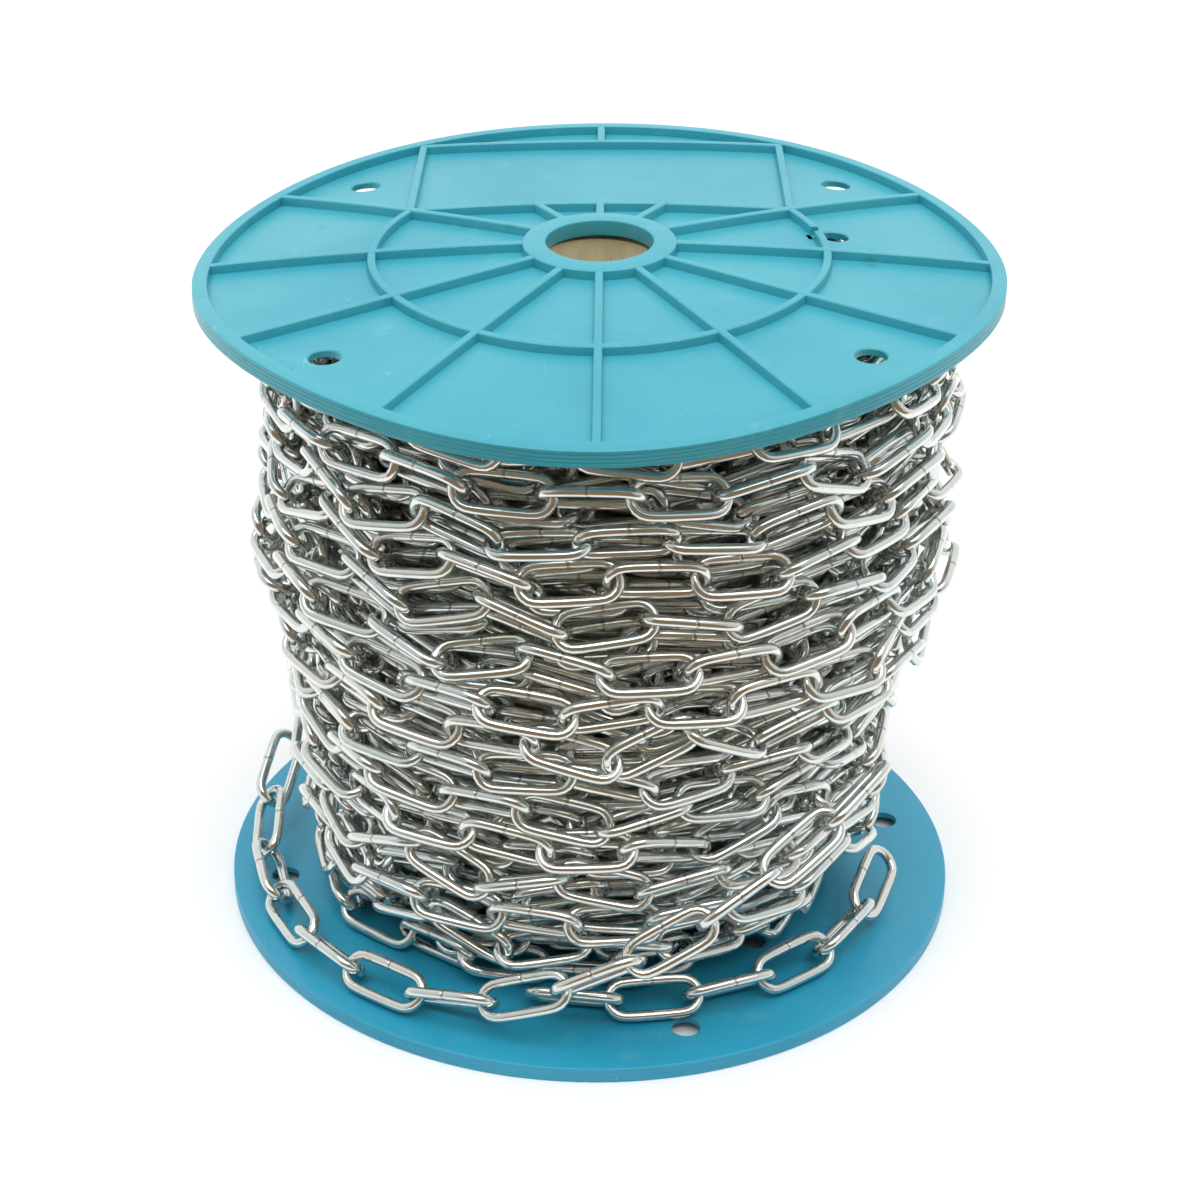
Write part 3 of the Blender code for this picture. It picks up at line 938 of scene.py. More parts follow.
@dataclass(frozen=True)
class LinkShape:
    """One link: round wire bent into a long ring, 5 mm wire by 35 mm inside length."""

    wire: float = 0.0050
    inside_length: float = 0.0350
    outside_width: float = 0.0200
    sides: int = 5
    wire_swell: float = 1.222
    end_swell: float = 1.063
    end_angles: tuple[float, ...] = (-60.0, -20.0, 20.0, 60.0)
    side_share: float = 0.92

    @property
    def half_width(self) -> float:
        """Distance from the link's middle to the centre line of its long sides."""
        return (self.outside_width - self.wire) / 2

    @property
    def half_length(self) -> float:
        """Distance from the link's middle to the centre line of its ends."""
        return (self.inside_length + self.wire) / 2

    @property
    def joint(self) -> float:
        """Distance from the link's middle to where the next link bears on it."""
        return self.inside_length / 2

    def centre_line(self) -> Array:
        """Cage points of the wire's centre line, anticlockwise from the middle of one long side.

        The points of an end lie on a circle of end_swell times the half width, because one level of
        subdivision draws them in by that much.

        Returns:
            Array of shape (points, 2).
        """
        w, straight = self.half_width, self.half_length - self.half_width
        turn = np.radians(self.end_angles)
        bend = self.end_swell * w
        end = np.stack([straight + bend * np.cos(turn), bend * np.sin(turn)], axis=1)
        near = straight * self.side_share
        half = np.concatenate([[[0.0, -w], [near, -w]], end, [[near, w]]])
        return np.concatenate([half, -half])

    def cage(self) -> tuple[Array, Array, Array]:
        """The link's cage: a ring of points round each point of the centre line.

        Point (i, j) = line i + wire_swell * wire / 2 * (cos a outward + sin a up), a = 2 pi j / sides.

        Returns:
            Points of shape (points, 3), quads, and a UV of shape (quads, 4, 2) along and round the wire.
        """
        line = self.centre_line()
        along = np.roll(line, -1, axis=0) - np.roll(line, 1, axis=0)
        along /= np.linalg.norm(along, axis=1, keepdims=True)
        outward = np.stack([along[:, 1], -along[:, 0], np.zeros(len(line))], axis=1)
        turn = np.linspace(0.0, math.tau, self.sides, endpoint=False)
        radius = self.wire / 2 * self.wire_swell
        ring = outward[:, None, :] * np.cos(turn)[None, :, None]
        ring = ring + np.array([0.0, 0.0, 1.0]) * np.sin(turn)[None, :, None]
        points = np.concatenate([line, np.zeros((len(line), 1))], axis=1)[:, None, :] + radius * ring
        quads = grid_quads(len(line), self.sides, True, True)
        i, j = np.divmod(np.arange(len(quads)), self.sides)
        u = np.stack([i, i + 1, i + 1, i], axis=1) / len(line)
        v = np.stack([j, j, j + 1, j + 1], axis=1) / self.sides
        return points.reshape(-1, 3), quads, np.stack([u, v], axis=-1)


LINK = LinkShape()


@dataclass
class Links:
    """Many links: centres, frames (long axis, width axis, normal), strands, and which ones are pinned."""

    centre: Array
    frame: Array
    strand: Array
    pinned: Array

    def __len__(self) -> int:
        """Number of links."""
        return len(self.centre)

    @staticmethod
    def together(parts: list["Links"]) -> "Links":
        """All links of several sets, with strands numbered by set.

        Args:
            parts: the sets.

        Returns:
            The links.
        """
        strand = np.concatenate([np.full(len(part), k) for k, part in enumerate(parts)])
        return Links(np.concatenate([p.centre for p in parts]), np.concatenate([p.frame for p in parts]),
                     strand, np.concatenate([p.pinned for p in parts]))

    def of(self, chosen: Array) -> "Links":
        """The links that a mask chooses."""
        return Links(self.centre[chosen], self.frame[chosen], self.strand[chosen], self.pinned[chosen])


def strung(line: Array, roll: Array, spacing: float, pinned: bool) -> Links:
    """Links along a line: link k lies between the points at k and k + 1 spacings along it.

    Its width axis is cos(roll) * upward + sin(roll) * outward, both square to the line. Spacings are
    chords: on a bend of radius R, an arc is longer than its chord by the share (spacing / R)^2 / 24.

    Args:
        line: array of shape (points, 3), finely spaced.
        roll: the roll of each link in radians, used from its start.
        spacing: distance between the middles of two links.
        pinned: True for links that settling leaves where they are.

    Returns:
        The links.
    """
    steps = np.linalg.norm(np.diff(line, axis=0), axis=1)
    bend = spacing / np.linalg.norm((line[1:] + line[:-1])[:, :2] / 2, axis=1)
    run = np.concatenate([[0.0], np.cumsum(steps * (1 - bend * bend / 24))])
    stops = np.arange(0.0, run[-1], spacing)
    stations = np.stack([np.interp(stops, run, line[:, k]) for k in range(3)], axis=1)
    centre = (stations[1:] + stations[:-1]) / 2
    along = unit(stations[1:] - stations[:-1])
    outward = unit(centre * LEVEL)
    outward = unit(outward - along * np.sum(outward * along, axis=1, keepdims=True))
    upward = np.cross(outward, along)
    upward *= np.where(upward[:, 2:] < 0, -1.0, 1.0)
    angle = np.resize(roll, len(centre))[:, None]
    across = np.cos(angle) * upward + np.sin(angle) * outward
    frames = np.stack([along, across, np.cross(along, across)], axis=1)
    return Links(centre, frames, np.zeros(len(centre), int), np.full(len(centre), pinned))


def unit(vectors: Array) -> Array:
    """Vectors scaled to length 1."""
    return vectors / np.maximum(np.linalg.norm(vectors, axis=-1, keepdims=True), 1e-12)


@dataclass
class CoilOutline:
    """Outer radius of the winding: drawn in at its foot, slack below its middle, lumpy, and leaning to +X.

    A lump is (angle in degrees, height, size, reach in degrees, reach in height), heights in metres.
    """

    full: float = 0.1560
    waist: float = 0.1440
    foot: float = 0.1200
    foot_span: tuple[float, float] = (0.012, 0.062)
    shoulder_span: tuple[float, float] = (0.120, 0.146)
    lean: float = 0.0050
    low: float = 0.0074
    high: float = 0.2860
    lumps: tuple[tuple[float, float, float, float, float], ...] = (
        (-150.0, 0.018, 0.0140, 75.0, 0.040), (185.0, 0.186, 0.0055, 60.0, 0.032),
        (-5.0, 0.262, 0.0040, 70.0, 0.040), (-80.0, 0.215, -0.0020, 45.0, 0.030))

    def radius(self, z: Array, turn: Array) -> Array:
        """Radius about the winding's own axis: two smooth steps, foot to waist and waist to full, and lumps.

        A lump adds size * (1 - u)^2, where u < 1 is the sum of the squares of the angle and the height
        from its middle, as shares of its reach.

        Args:
            z: heights.
            turn: angles in radians.

        Returns:
            Radii.
        """
        radius = (self.foot + (self.waist - self.foot) * ease(z, self.foot_span)
                  + (self.full - self.waist) * ease(z, self.shoulder_span))
        for middle, height, size, reach, rise in self.lumps:
            off = np.mod(np.degrees(turn) - middle + 180.0, 360.0) - 180.0
            apart = (off / reach) ** 2 + ((z - height) / rise) ** 2
            radius = radius + size * np.maximum(1.0 - apart, 0.0) ** 2
        return radius

    def axis(self, z: Array) -> Array:
        """Place along X of the winding's own axis: lean above the shoulder, 0 below it."""
        return self.lean * ease(z, self.shoulder_span)


def ease(value: Array, span: tuple[float, float]) -> Array:
    """Smooth step 3 t^2 - 2 t^3 from 0 at the start of a span to 1 at its end."""
    t = np.clip((value - span[0]) / (span[1] - span[0]), 0.0, 1.0)
    return t * t * (3 - 2 * t)


def wobble(rng: np.random.Generator, turn: Array, size: float, waves: tuple[float, ...]) -> Array:
    """Smooth random wave along a turn: a sum of sines of the given waves a turn with random phases.

    Args:
        rng: source of the phases and of each sine's share.
        turn: angles in radians.
        size: greatest height of the wave.
        waves: how many waves a turn each sine has.

    Returns:
        The wave's heights.
    """
    phases = rng.uniform(0.0, math.tau, len(waves))
    sizes = rng.uniform(0.5, 1.0, len(waves))
    total = sum(s * np.sin(w * turn + p) for s, w, p in zip(sizes, waves, phases))
    return size * total / len(waves)


@dataclass
class Layer:
    """One layer of turns of chain: a ring for each row, with a step up to the next row.

    At share s of a turn the height is the row's middle plus a row * ease(s over the step's span), and the
    radius is the outline's less the layer's depth; both waver. Successive links lean either way in turn.
    """

    outline: CoilOutline
    depth: float
    seed: int
    step_up_angle: float = 90.0
    step_up_share: float = 0.12
    lifted: float = 0.0
    lean: float = math.radians(45)
    lean_noise: float = math.radians(13)
    lean_drift: float = math.radians(24)
    height_waver: float = 0.0030
    radius_waver: float = 0.0020
    rows: int = 15

    def line(self, rng: np.random.Generator) -> Array:
        """Fine polyline along the layer's turns, from the bottom row up.

        Args:
            rng: source of its wavering.

        Returns:
            Array of shape (points, 3).
        """
        turns = np.linspace(0.0, self.rows, self.rows * 480, endpoint=False)
        row, share = np.divmod(turns, 1.0)
        height = (self.outline.high - self.outline.low) / self.rows
        rise = np.where(row < self.rows - 1, ease(share, (1 - self.step_up_share, 1.0)), 0.0)
        z = self.outline.low + height * (row + 0.5 + rise) + self.lifted
        turn = turns * math.tau
        z = z + wobble(rng, turn, self.height_waver, (1.0, 1.93, 0.31, 3.07))
        z = np.clip(z, self.outline.low + 0.4 * height, self.outline.high - 0.4 * height)
        angle = turn + math.radians(self.step_up_angle)
        radius = self.outline.radius(z, angle) - self.depth
        radius = radius + wobble(rng, turn, self.radius_waver, (2.1, 0.73, 3.3))
        return np.stack([self.outline.axis(z) + radius * np.cos(angle), radius * np.sin(angle), z], axis=1)

    def links(self) -> Links:
        """The layer's links before they settle.

        Returns:
            The links.
        """
        rng = np.random.default_rng(self.seed)
        line = self.line(rng)
        count = int(np.sum(np.linalg.norm(np.diff(line, axis=0), axis=1)) / LINK.inside_length) + 2
        steps = np.arange(count)
        roll = np.where(steps % 2 == 0, self.lean, -self.lean) + rng.normal(0.0, self.lean_noise, count)
        roll = roll + wobble(rng, steps * 0.25, self.lean_drift, (0.9, 0.37, 1.7))
        return strung(line, roll, LINK.inside_length, False)


@dataclass
class Route:
    """Loose chain that lies along a route of (angle in degrees, radius and height in millimetres)."""

    name: str
    stops: tuple[tuple[float, float, float], ...]
    rolls: tuple[float, ...]
    nodes: str
    spacing: float = 0.0340

    def line(self) -> Array:
        """The route as a Catmull-Rom curve: each stretch is the cubic through its two stops.

        Returns:
            Array of shape (points, 3).
        """
        angle, radius, height = (np.array(column, float) for column in zip(*self.stops))
        turn = np.radians(angle)
        points = MILLIMETRE * np.stack([radius * np.cos(turn), radius * np.sin(turn), height], axis=1)
        ends = np.concatenate([[2 * points[0] - points[1]], points, [2 * points[-1] - points[-2]]])
        t = np.linspace(0.0, 1.0, 20, endpoint=False)[None, :, None]
        a, b, c, d = (ends[k:len(ends) - 3 + k, None, :] for k in range(4))
        bend, twist = 2 * a - 5 * b + 4 * c - d, 3 * b - a - 3 * c + d
        curve = 0.5 * (2 * b + (c - a) * t + bend * t**2 + twist * t**3)
        return np.concatenate([curve.reshape(-1, 3), points[-1:]])

    def links(self) -> Links:
        """The route's links, which settling leaves where they are."""
        return strung(self.line(), np.radians(self.rolls), self.spacing, True)


@dataclass
class Settling:
    """Moves links that overlap apart and keeps neighbours linked, as rigid rings pulled to the axis.

    Each link's centre line is eight straight stretches. A round finds the pairs of stretches that are
    nearer than a wire's diameter, and moves and turns both links so that each gap closes by its share.
    Nearness is the cosine between two neighbours' width axes past which they roll back.
    """

    rounds: int = 150
    refresh: int = 10
    reach: float = 0.0470
    near: float = 0.0080
    pull: float = 0.00006
    core: CoilOutline = field(default_factory=CoilOutline)
    core_depth: float = 0.0425
    spare: float = 0.0045
    floor: float = 0.0074
    ceiling: float = 0.3030
    sag: Sag = field(default_factory=Sag)
    inertia: tuple[float, float, float] = (45e-6, 170e-6, 215e-6)
    stretch_trim: tuple[float, float] = (0.0010, 0.0007)
    end_width: float = 0.48
    nearness: float = 0.62
    roll_back: float = 0.25

    def stretches(self) -> Array:
        """Corners of the eight-sided centre line of a link, in its own frame.

        Returns:
            Array of shape (8, 2).
        """
        longer, shorter = self.stretch_trim
        w = LINK.half_width
        x, e, k = LINK.half_length - w + longer, LINK.half_length - shorter, w * self.end_width
        return np.array([(-x, -w), (x, -w), (e, -k), (e, k), (x, w), (-x, w), (-e, k), (-e, -k)])

    def corners(self, links: Links) -> Array:
        """Corners of every link's centre line in the reel's frame, of shape (links, 8, 3)."""
        local = self.stretches()
        return links.centre[:, None, :] + np.einsum("kc,ncd->nkd", local, links.frame[:, :2])

    def pairs(self, links: Links) -> tuple[Array, Array]:
        """Pairs of links that are near each other and aren't neighbours on a strand.

        Args:
            links: all links.

        Returns:
            The first and the second link of each pair.
        """
        away = np.linalg.norm(links.centre[:, None, :] - links.centre[None, :, :], axis=2)
        first, second = np.nonzero(np.triu(away < self.reach, 1))
        linked = (second - first == 1) & (links.strand[first] == links.strand[second])
        both_pinned = links.pinned[first] & links.pinned[second]
        keep = ~linked & ~both_pinned
        return first[keep], second[keep]

    def contacts(self, links: Links) -> tuple[Array, Array, Array, Array]:
        """Pairs of stretches that may touch in the next rounds.

        Args:
            links: all links.

        Returns:
            Links i and j, and stretch a of link i and stretch b of link j.
        """
        first, second = self.pairs(links)
        spots = self.corners(links)
        s, t = (part.ravel() for part in np.meshgrid(np.arange(8), np.arange(8)))
        i, j = np.repeat(first, 64), np.repeat(second, 64)
        a, b = np.tile(s, len(first)), np.tile(t, len(first))
        p, q = self.nearest(spots, i, j, a, b)
        keep = np.linalg.norm(p - q, axis=1) < self.near + LINK.wire
        return i[keep], j[keep], a[keep], b[keep]

    @staticmethod
    def nearest(spots: Array, i: Array, j: Array, a: Array, b: Array) -> tuple[Array, Array]:
        """Nearest points of stretch a of link i and stretch b of link j, each pair solved as two lines.

        For lines p + s u and q + t v, s and t solve the two right-angle conditions, and are then
        clamped to 0..1 one after the other.

        Args:
            spots: corners of every link's centre line.
            i, j, a, b: pairs of stretches, as contacts gives them.

        Returns:
            The nearest points on the first and on the second stretches.
        """
        p, q = spots[i, a], spots[j, b]
        u, v = spots[i, (a + 1) % 8] - p, spots[j, (b + 1) % 8] - q
        w = p - q
        uu, vv, uv = (u * u).sum(1), (v * v).sum(1), (u * v).sum(1)
        uw, vw = (u * w).sum(1), (v * w).sum(1)
        spread = np.maximum(uu * vv - uv * uv, 1e-14)
        s = np.clip((uv * vw - vv * uw) / spread, 0.0, 1.0)
        t = np.clip((uv * s + vw) / vv, 0.0, 1.0)
        s = np.clip((uv * t - uw) / uu, 0.0, 1.0)
        return p + s[:, None] * u, q + t[:, None] * v

    def run(self, links: Links) -> None:
        """Settles the links in place.

        Args:
            links: all links, whose centres and frames change.
        """
        home_inertia = 1.0 / np.array(self.inertia)
        free = np.where(links.pinned, 0.0, 1.0)
        count = len(links)
        joined = np.nonzero(links.strand[1:] == links.strand[:-1])[0]
        for step in range(self.rounds):
            if step % self.refresh == 0:
                i, j, a, b = self.contacts(links)
            move, turn, hits = np.zeros((count, 3)), np.zeros((count, 3)), np.ones(count)
            p, q = self.nearest(self.corners(links), i, j, a, b)
            gap = p - q
            distance = np.linalg.norm(gap, axis=1)
            deep = distance < LINK.wire
            self.push(links, free, home_inertia, (i[deep], j[deep]), (p[deep], q[deep]),
                      unit(gap[deep]) * (LINK.wire - distance[deep])[:, None], move, turn, hits)
            centre, axis = links.centre, links.frame[:, 0]
            right = centre[joined] + axis[joined] * LINK.joint
            left = centre[joined + 1] - axis[joined + 1] * LINK.joint
            self.push(links, free, home_inertia, (joined, joined + 1), (right, left), left - right,
                      move, turn, hits)
            self.walls(links, free, home_inertia, move, turn, hits)
            radial = unit(centre * LEVEL)
            move = move / hits[:, None] ** 0.5 - radial * (self.pull * free)[:, None]
            turn = turn / hits[:, None] ** 0.5
            links.centre = centre + move
            self.rotate(links, turn)
            self.keep_crossed(links, joined, free)

    @staticmethod
    def push(links: Links, free: Array, inertia: Array, pair: tuple[Array, Array],
             spots: tuple[Array, Array], shift: Array, move: Array, turn: Array, hits: Array) -> None:
        """Adds the moves and turns that shift point p of link i by shift, relative to point q of link j.

        Each link takes a share by how easily it moves at that point: 1 for its place, and the square of
        its lever arm over its inertia for its turn.

        Args:
            links: all links.
            free: 1 for a link that may move, 0 for a pinned one.
            inertia: one over the inertia about a link's three axes.
            pair: links i and links j.
            spots: points p and points q.
            shift: the wanted shifts.
            move, turn, hits: sums over the links, which this adds to.
        """
        i, j = pair
        size = np.linalg.norm(shift, axis=1, keepdims=True)
        normal = shift / np.maximum(size, 1e-12)
        ease_of, arms = [], []
        for which, spot in zip((i, j), spots):
            arm = np.cross(spot - links.centre[which], normal)
            local = np.einsum("ncd,nd->nc", links.frame[which], arm)
            ease_of.append(free[which] * (1 + (local * local * inertia).sum(1)))
            arms.append(np.einsum("ncd,nc->nd", links.frame[which], local * inertia))
        share = size[:, 0] / np.maximum(ease_of[0] + ease_of[1], 1e-9)
        for which, arm, sign in ((i, arms[0], 1.0), (j, arms[1], -1.0)):
            part = (sign * share * free[which])[:, None]
            np.add.at(move, which, part * normal)
            np.add.at(turn, which, part * arm)
            np.add.at(hits, which, 1.0)

    def walls(self, links: Links, free: Array, inertia: Array,
              move: Array, turn: Array, hits: Array) -> None:
        """Keeps the corners outside the core, inside the outline and its spare, and between the flanges.

        Args:
            links: all links.
            free: 1 for a link that may move, 0 for a pinned one.
            inertia: one over the inertia about a link's three axes.
            move, turn, hits: sums over the links, which this adds to.
        """
        owner = np.repeat(np.arange(len(links)), 8)
        flat = self.corners(links).reshape(-1, 3)
        height, half = flat[:, 2], LINK.wire / 2
        across = flat * LEVEL
        across[:, 0] -= self.core.axis(height)
        radius = np.linalg.norm(across, axis=1)
        outline = self.core.radius(height, np.arctan2(across[:, 1], across[:, 0]))
        short = np.maximum(outline - self.core_depth + half - radius, 0.0)
        over = np.maximum(radius + half - outline - self.spare, 0.0)
        shift = across / radius[:, None] * (short - over)[:, None]
        ceiling = self.ceiling + self.sag.lift(flat[:, 0], flat[:, 1])
        shift[:, 2] += np.maximum(self.floor + half - height, 0.0)
        shift[:, 2] -= np.maximum(height + half - ceiling, 0.0)
        hit = np.nonzero(np.abs(shift).max(axis=1) > 0)[0]
        size = np.linalg.norm(shift[hit], axis=1, keepdims=True)
        normal = shift[hit] / size
        arm = np.cross(flat[hit] - links.centre[owner[hit]], normal)
        local = np.einsum("ncd,nd->nc", links.frame[owner[hit]], arm)
        share = (size[:, 0] / (1 + (local * local * inertia).sum(1)) * free[owner[hit]])[:, None]
        spin = np.einsum("ncd,nc->nd", links.frame[owner[hit]], local * inertia)
        np.add.at(move, owner[hit], share * normal)
        np.add.at(turn, owner[hit], share * spin)
        np.add.at(hits, owner[hit], 1.0)

    @staticmethod
    def rotate(links: Links, turn: Array) -> None:
        """Turns each frame by a small rotation vector: v + turn x v, made square again.

        Args:
            links: all links.
            turn: a rotation vector for each.
        """
        frame = links.frame + np.cross(turn[:, None, :], links.frame)
        along = unit(frame[:, 0])
        across = unit(frame[:, 1] - along * (frame[:, 1] * along).sum(1, keepdims=True))
        links.frame = np.stack([along, across, np.cross(along, across)], axis=1)

    def keep_crossed(self, links: Links, joined: Array, free: Array) -> None:
        """Rolls neighbours whose width axes come too near each other back towards a right angle.

        Args:
            links: all links.
            joined: the first link of each pair of neighbours on a strand.
            free: 1 for a link that may move, 0 for a pinned one.
        """
        here, there = links.frame[joined, 1], links.frame[joined + 1, 1]
        cosine = (here * there).sum(1)
        excess = np.sign(cosine) * np.maximum(np.abs(cosine) - self.nearness, 0.0)
        sense = (np.cross(here, there) * links.frame[joined, 0]).sum(1)
        part = self.roll_back * excess * np.sign(sense)
        roll = np.zeros(len(links))
        np.add.at(roll, joined, -part)
        np.add.at(roll, joined + 1, part)
        self.rotate(links, links.frame[:, 0] * (roll * free)[:, None])

    def overlap(self, links: Links) -> float:
        """Deepest overlap of two wires that is left.

        Args:
            links: all links.

        Returns:
            The overlap, in metres.
        """
        i, j, a, b = self.contacts(links)
        p, q = self.nearest(self.corners(links), i, j, a, b)
        return float(LINK.wire - np.linalg.norm(p - q, axis=1).min())


@dataclass
class ChainMesh:
    """Turns links into one mesh of cages, which a subdivision then rounds."""

    finish: bpy.types.Material
    seed: int = 11

    def build(self, name: str, links: Links, stands_for: tuple[str, ...]) -> bpy.types.Object:
        """Builds a piece from links: every point is centre + x * long axis + y * width axis + z * normal.

        Args:
            name: the piece's name.
            links: its links.
            stands_for: CAD nodes that it replaces.

        Returns:
            The piece.
        """
        cage, quads, strip = LINK.cage()
        count = len(links)
        points = links.centre[:, None, :] + np.einsum("kc,ncd->nkd", cage, links.frame)
        corners = (quads[None] + np.arange(count)[:, None, None] * len(cage)).reshape(-1, 4)
        mesh = quad_mesh(name, points.reshape(-1, 3), corners)
        layer = mesh.uv_layers.new(name="wire")
        flipped = mesh.polygons[0].vertices[1] != corners[0][1]
        strip = np.tile(strip, (count, 1, 1))
        if flipped:
            strip = strip[:, [0, 3, 2, 1]]
        layer.data.foreach_set("uv", strip.astype(np.float32).ravel())
        tone = np.random.default_rng(self.seed).uniform(0.0, 1.0, count)
        mark = mesh.attributes.new("tone", "FLOAT", "POINT")
        mark.data.foreach_set("value", np.repeat(tone, len(cage)).astype(np.float32))
        piece = add_piece(name, mesh, self.finish, stands_for, crease=180.0)
        smooth = piece.modifiers.new("round", "SUBSURF")
        smooth.levels = smooth.render_levels = 1
        return piece


@dataclass
class HiddenTurns:
    """Dim packed turns behind the layers that show, as one surface with rows and links in relief, darkened
    all over by painted shade.

    The radius at turn t and height z is the outline's less a depth, plus a crest for each row and link:
    relief * |sin(pi z / row)| * |sin(links t / 2 + pi * row number / 2)|.
    """

    finish: bpy.types.Material
    outline: CoilOutline
    depth: float = 0.0400
    relief: float = 0.0050
    row: float = 0.0180
    links: int = 18
    low: float = 0.0074
    high: float = 0.2860
    hollow: float = 0.0345

    def build(self) -> bpy.types.Object:
        """Builds the surface, closed by flat ends and an inner wall.

        Returns:
            The piece.
        """
        steps, rings = 180, 150
        turn = np.linspace(0.0, math.tau, steps, endpoint=False)[:, None]
        z = np.linspace(self.low, self.high, rings)[None, :]
        crest = np.abs(np.sin(math.pi * z / self.row))
        wave = np.abs(np.sin(self.links * turn / 2 + np.floor(z / self.row) * math.pi / 2))
        radius = self.outline.radius(z, turn) - self.depth + self.relief * (crest * wave - 1)
        wall = np.full((steps, 2), self.hollow)
        radius = np.concatenate([radius, wall], axis=1)
        heights = np.concatenate([z[0], [self.high, self.low]])[None, :]
        axis = np.concatenate([self.outline.axis(z[0]), [0.0, 0.0]])[None, :]
        points = np.stack([axis + radius * np.cos(turn), radius * np.sin(turn),
                           np.broadcast_to(heights, radius.shape)], axis=-1)
        mesh = quad_mesh("hidden", points.reshape(-1, 3), grid_quads(steps, rings + 2, True, True))
        uv = mesh.uv_layers.new(name="wire")
        # Every u is the weld's place, so the weld's dark seam colour covers the whole surface: painted shade
        # on the deep turns.
        uv.data.foreach_set("uv", np.full(len(mesh.loops) * 2, 0.5, np.float32))
        mark = mesh.attributes.new("tone", "FLOAT", "POINT")
        mark.data.foreach_set("value", np.full(len(mesh.vertices), 0.5, np.float32))
        return add_piece("chain_packed_turns", mesh, self.finish, ("chain_hidden_turns",), 60.0)


@dataclass
class Chain:
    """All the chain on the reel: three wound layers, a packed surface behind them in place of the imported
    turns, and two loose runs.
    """

    finish: bpy.types.Material
    outline: CoilOutline = field(default_factory=CoilOutline)

    def layers(self) -> list[Layer]:
        """The wound layers, outermost first.

        Returns:
            The layers.
        """
        return [Layer(self.outline, 0.0088, 3),
                Layer(self.outline, 0.0205, 5, 30.0, lifted=0.0070, height_waver=0.0035),
                Layer(self.outline, 0.0325, 8, 200.0, height_waver=0.0040)]

    def routes(self) -> list[Route]:
        """The two loose runs.

        Returns:
            The routes.
        """
        loose = Route("chain_loose_run", (
            (-196, 151, 38), (-184, 151, 26), (-172, 151, 19), (-158, 151, 16), (-144, 151, 16),
            (-130, 150, 16), (-117, 149, 17), (-104, 148, 24), (-91, 149, 38), (-78, 151, 56),
            (-66, 151, 73), (-55, 151, 88), (-43, 151, 101), (-33, 151, 109), (-25, 151, 114)),
            (45, -45), "loose_link_")
        foot = Route("chain_foot_run", (
            (-100, 129, 16), (-89, 131, 16), (-75, 133, 16), (-60, 135, 16), (-48, 137, 16),
            (-37, 138, 17), (-25, 138, 20), (-13, 138, 25)),
            (45, -45), "foot_link_")
        return [loose, foot]

    def build(self) -> None:
        """Lays the chain out, settles it and builds its pieces."""
        layers, routes = self.layers(), self.routes()
        links = Links.together([part.links() for part in (*layers, *routes)])
        settling = Settling(core=self.outline)
        LOG.info("%d links, deepest overlap %.2f mm", len(links), 1000 * settling.overlap(links))
        settling.run(links)
        LOG.info("settled: deepest overlap %.2f mm", 1000 * settling.overlap(links))
        maker = ChainMesh(self.finish)
        names = ("outer", "second", "third")
        for number, name in enumerate(names):
            chosen = np.nonzero(links.strand == number)[0]
            for part, half in zip(("lower", "upper"), np.array_split(chosen, 2)):
                stands_for = ("chain_outer_layer",) if number == 0 else ()
                maker.build(f"chain_{name}_turns_{part}", links.of(half), stands_for)
        for number, route in enumerate(routes, start=len(layers)):
            nodes = tuple(sorted(n for n in frame["nodes"] if n.startswith(route.nodes)))
            maker.build(route.name, links.of(links.strand == number), nodes)
        HiddenTurns(self.finish, self.outline).build()


# The studio


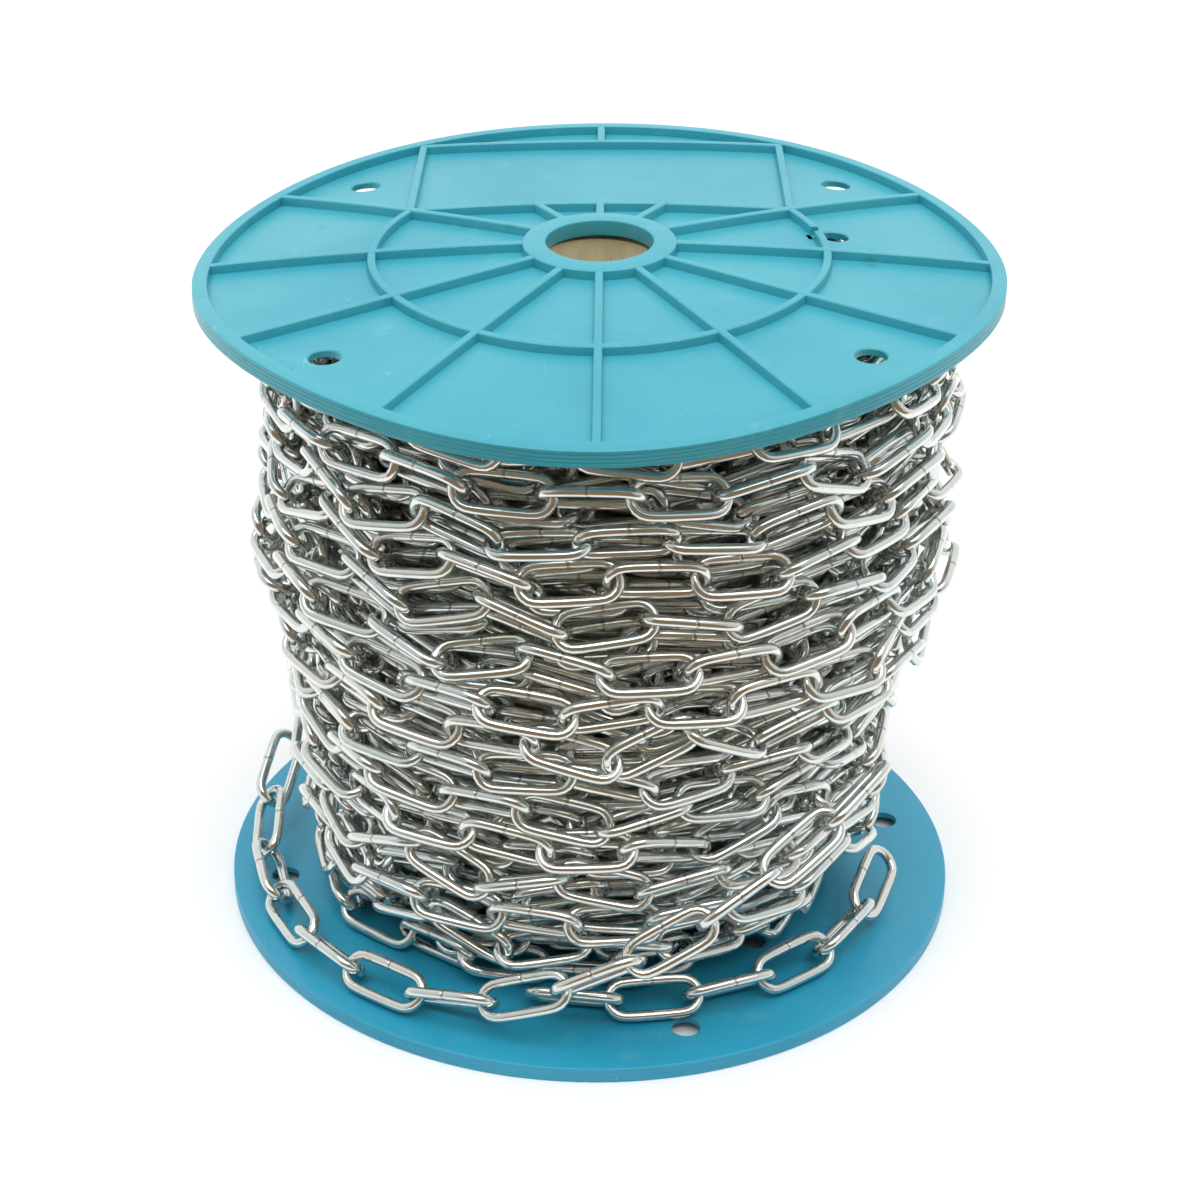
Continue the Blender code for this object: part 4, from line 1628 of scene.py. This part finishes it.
@dataclass
class Studio:
    """Pale floor, soft light all round and the camera at the photograph's place.

    A patch of light is (colour, direction, and the cosines where it begins and where it is full).
    """

    distance: float = 1.1830
    elevation: float = math.radians(27.53)
    roll: float = 0.0156
    lens: float = 79.67
    shift: tuple[float, float] = (0.0046, -0.0270)
    floor_size: float = 16.0
    floor_colour: tuple[float, float, float] = (0.90, 0.90, 0.90)
    room_colour: tuple[float, float, float] = (0.20, 0.14, 0.09)
    table_edge: float = 0.36
    edge_fade: float = 0.10
    side_light: tuple[float, float, float] = (0.72, 0.73, 0.72)
    patches: tuple[tuple, ...] = (
        ((1.0, 1.0, 1.0), (0.0, 1.0, 0.0), -0.4, 0.6),
        ((0.27, 0.20, 0.13), (0.0, -0.995, 0.10), 0.60, 0.80),
        ((3.4, 3.45, 3.5), (0.0, -0.26, 0.97), 0.82, 0.90))

    def camera(self) -> None:
        """Camera that looks at the middle of the reel's axis, turned a little about its line of sight."""
        ce, se = math.cos(self.elevation), math.sin(self.elevation)
        ahead = np.array([0.0, ce, -se])
        level, upright = np.array([1.0, 0.0, 0.0]), np.array([0.0, se, ce])
        right = level * math.cos(self.roll) + upright * math.sin(self.roll)
        up = upright * math.cos(self.roll) - level * math.sin(self.roll)
        place = np.array([0.0, 0.0, REEL_HEIGHT / 2]) - ahead * self.distance
        data = bpy.data.cameras.new("camera")
        data.lens, data.sensor_width = self.lens, 36.0
        data.shift_x, data.shift_y = self.shift
        data.clip_start, data.clip_end = 0.01, 100.0
        made = bpy.data.objects.new("camera", data)
        bpy.context.scene.collection.objects.link(made)
        made.matrix_world = Matrix([(*row, p) for row, p in zip(np.stack([right, up, -ahead], 1), place)]
                                   + [(0.0, 0.0, 0.0, 1.0)])
        bpy.context.scene.camera = made

    def floor(self) -> None:
        """Level square of pale floor; past the table's front edge it lights the reel as a dim room does."""
        half = self.floor_size / 2
        mesh = bpy.data.meshes.new("floor")
        mesh.from_pydata([(-half, -half, 0.0), (half, -half, 0.0), (half, half, 0.0), (-half, half, 0.0)],
                         [], [(0, 1, 2, 3)])
        made = bpy.data.objects.new("floor", mesh)
        bpy.context.scene.collection.objects.link(made)
        finish, nodes, shader = new_material("pale_floor")
        place = nodes.add("TexCoord").outputs["Object"]
        depth = nodes.add("SeparateXYZ", None, Vector=place).outputs["Y"]
        ahead = nodes.math("MULTIPLY", depth, -1.0)
        away = nodes.ramp(ahead, self.table_edge, self.table_edge + self.edge_fade)
        bounced = nodes.math("SUBTRACT", 1.0, nodes.add("LightPath").outputs["Is Camera Ray"])
        beyond = nodes.math("MULTIPLY", away, bounced)
        colour = nodes.mix(beyond, rgba(self.floor_colour), rgba(self.room_colour))
        nodes.feed(shader, {"Base_Color": colour})
        shader.inputs["Roughness"].default_value = 1.0
        shader.inputs["Specular IOR Level"].default_value = 0.0
        mesh.materials.append(finish)

    def light(self) -> None:
        """Soft white light from all sides, brighter from behind and above, with a dim warm room in front."""
        world = bpy.data.worlds.new("studio")
        bpy.context.scene.world = world
        world.use_nodes = True
        nodes = Nodes(world.node_tree)
        back = world.node_tree.nodes["Background"]
        out = world.node_tree.nodes["World Output"]
        way = nodes.add("TexCoord").outputs["Generated"]
        colour = rgba(self.side_light)
        for patch_colour, direction, low, high in self.patches:
            dot = nodes.add("VectorMath", {"operation": "DOT_PRODUCT"}, i0=way, i1=direction)
            colour = nodes.mix(nodes.ramp(dot.outputs["Value"], low, high), colour, rgba(patch_colour))
        nodes.feed(back, {"Color": colour, "Strength": 1.0})
        plain = nodes.add("Background", None, Color=(1.0, 1.0, 1.0, 1.0), Strength=1.0)
        seen = nodes.add("LightPath").outputs["Is Camera Ray"]
        both = nodes.add("MixShader", None, i0=seen, i1=back.outputs[0], i2=plain.outputs[0])
        world.node_tree.links.new(both.outputs[0], out.inputs["Surface"])
        bpy.context.scene.view_settings.view_transform = "Standard"

    def build(self) -> None:
        """Sets up the whole studio."""
        self.camera()
        self.floor()
        self.light()


def main() -> None:
    """Builds the studio and every piece of the reel."""
    logging.basicConfig(level=logging.INFO, format="%(name)s: %(message)s")
    Studio().build()
    effects = SharedEffects()
    Flange(Side.UPPER, BluePlastic(effects).build(), radius=0.1700).build()
    # The lower flange takes a bluer, darker copy of the plastic: painted shade, set against the upper
    # flange's painted sheen.
    shaded_plastic = BluePlastic(effects, "blue_plastic_lower_shaded",
                         base=(0.020, 0.315, 0.480), deep=(0.014, 0.285, 0.450))
    Flange(Side.LOWER, shaded_plastic.build(), radius=0.1665, turn=math.radians(-31)).build()
    Tube(Cardboard(effects).build()).build(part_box("cardboard_tube")[1].z)
    wire_length = 4 * (LINK.half_length - LINK.half_width) + math.tau * LINK.half_width
    Chain(ZincPlate(effects, weld_place=0.5, wire_length=wire_length).build()).build()


if __name__ == "__main__":
    main()
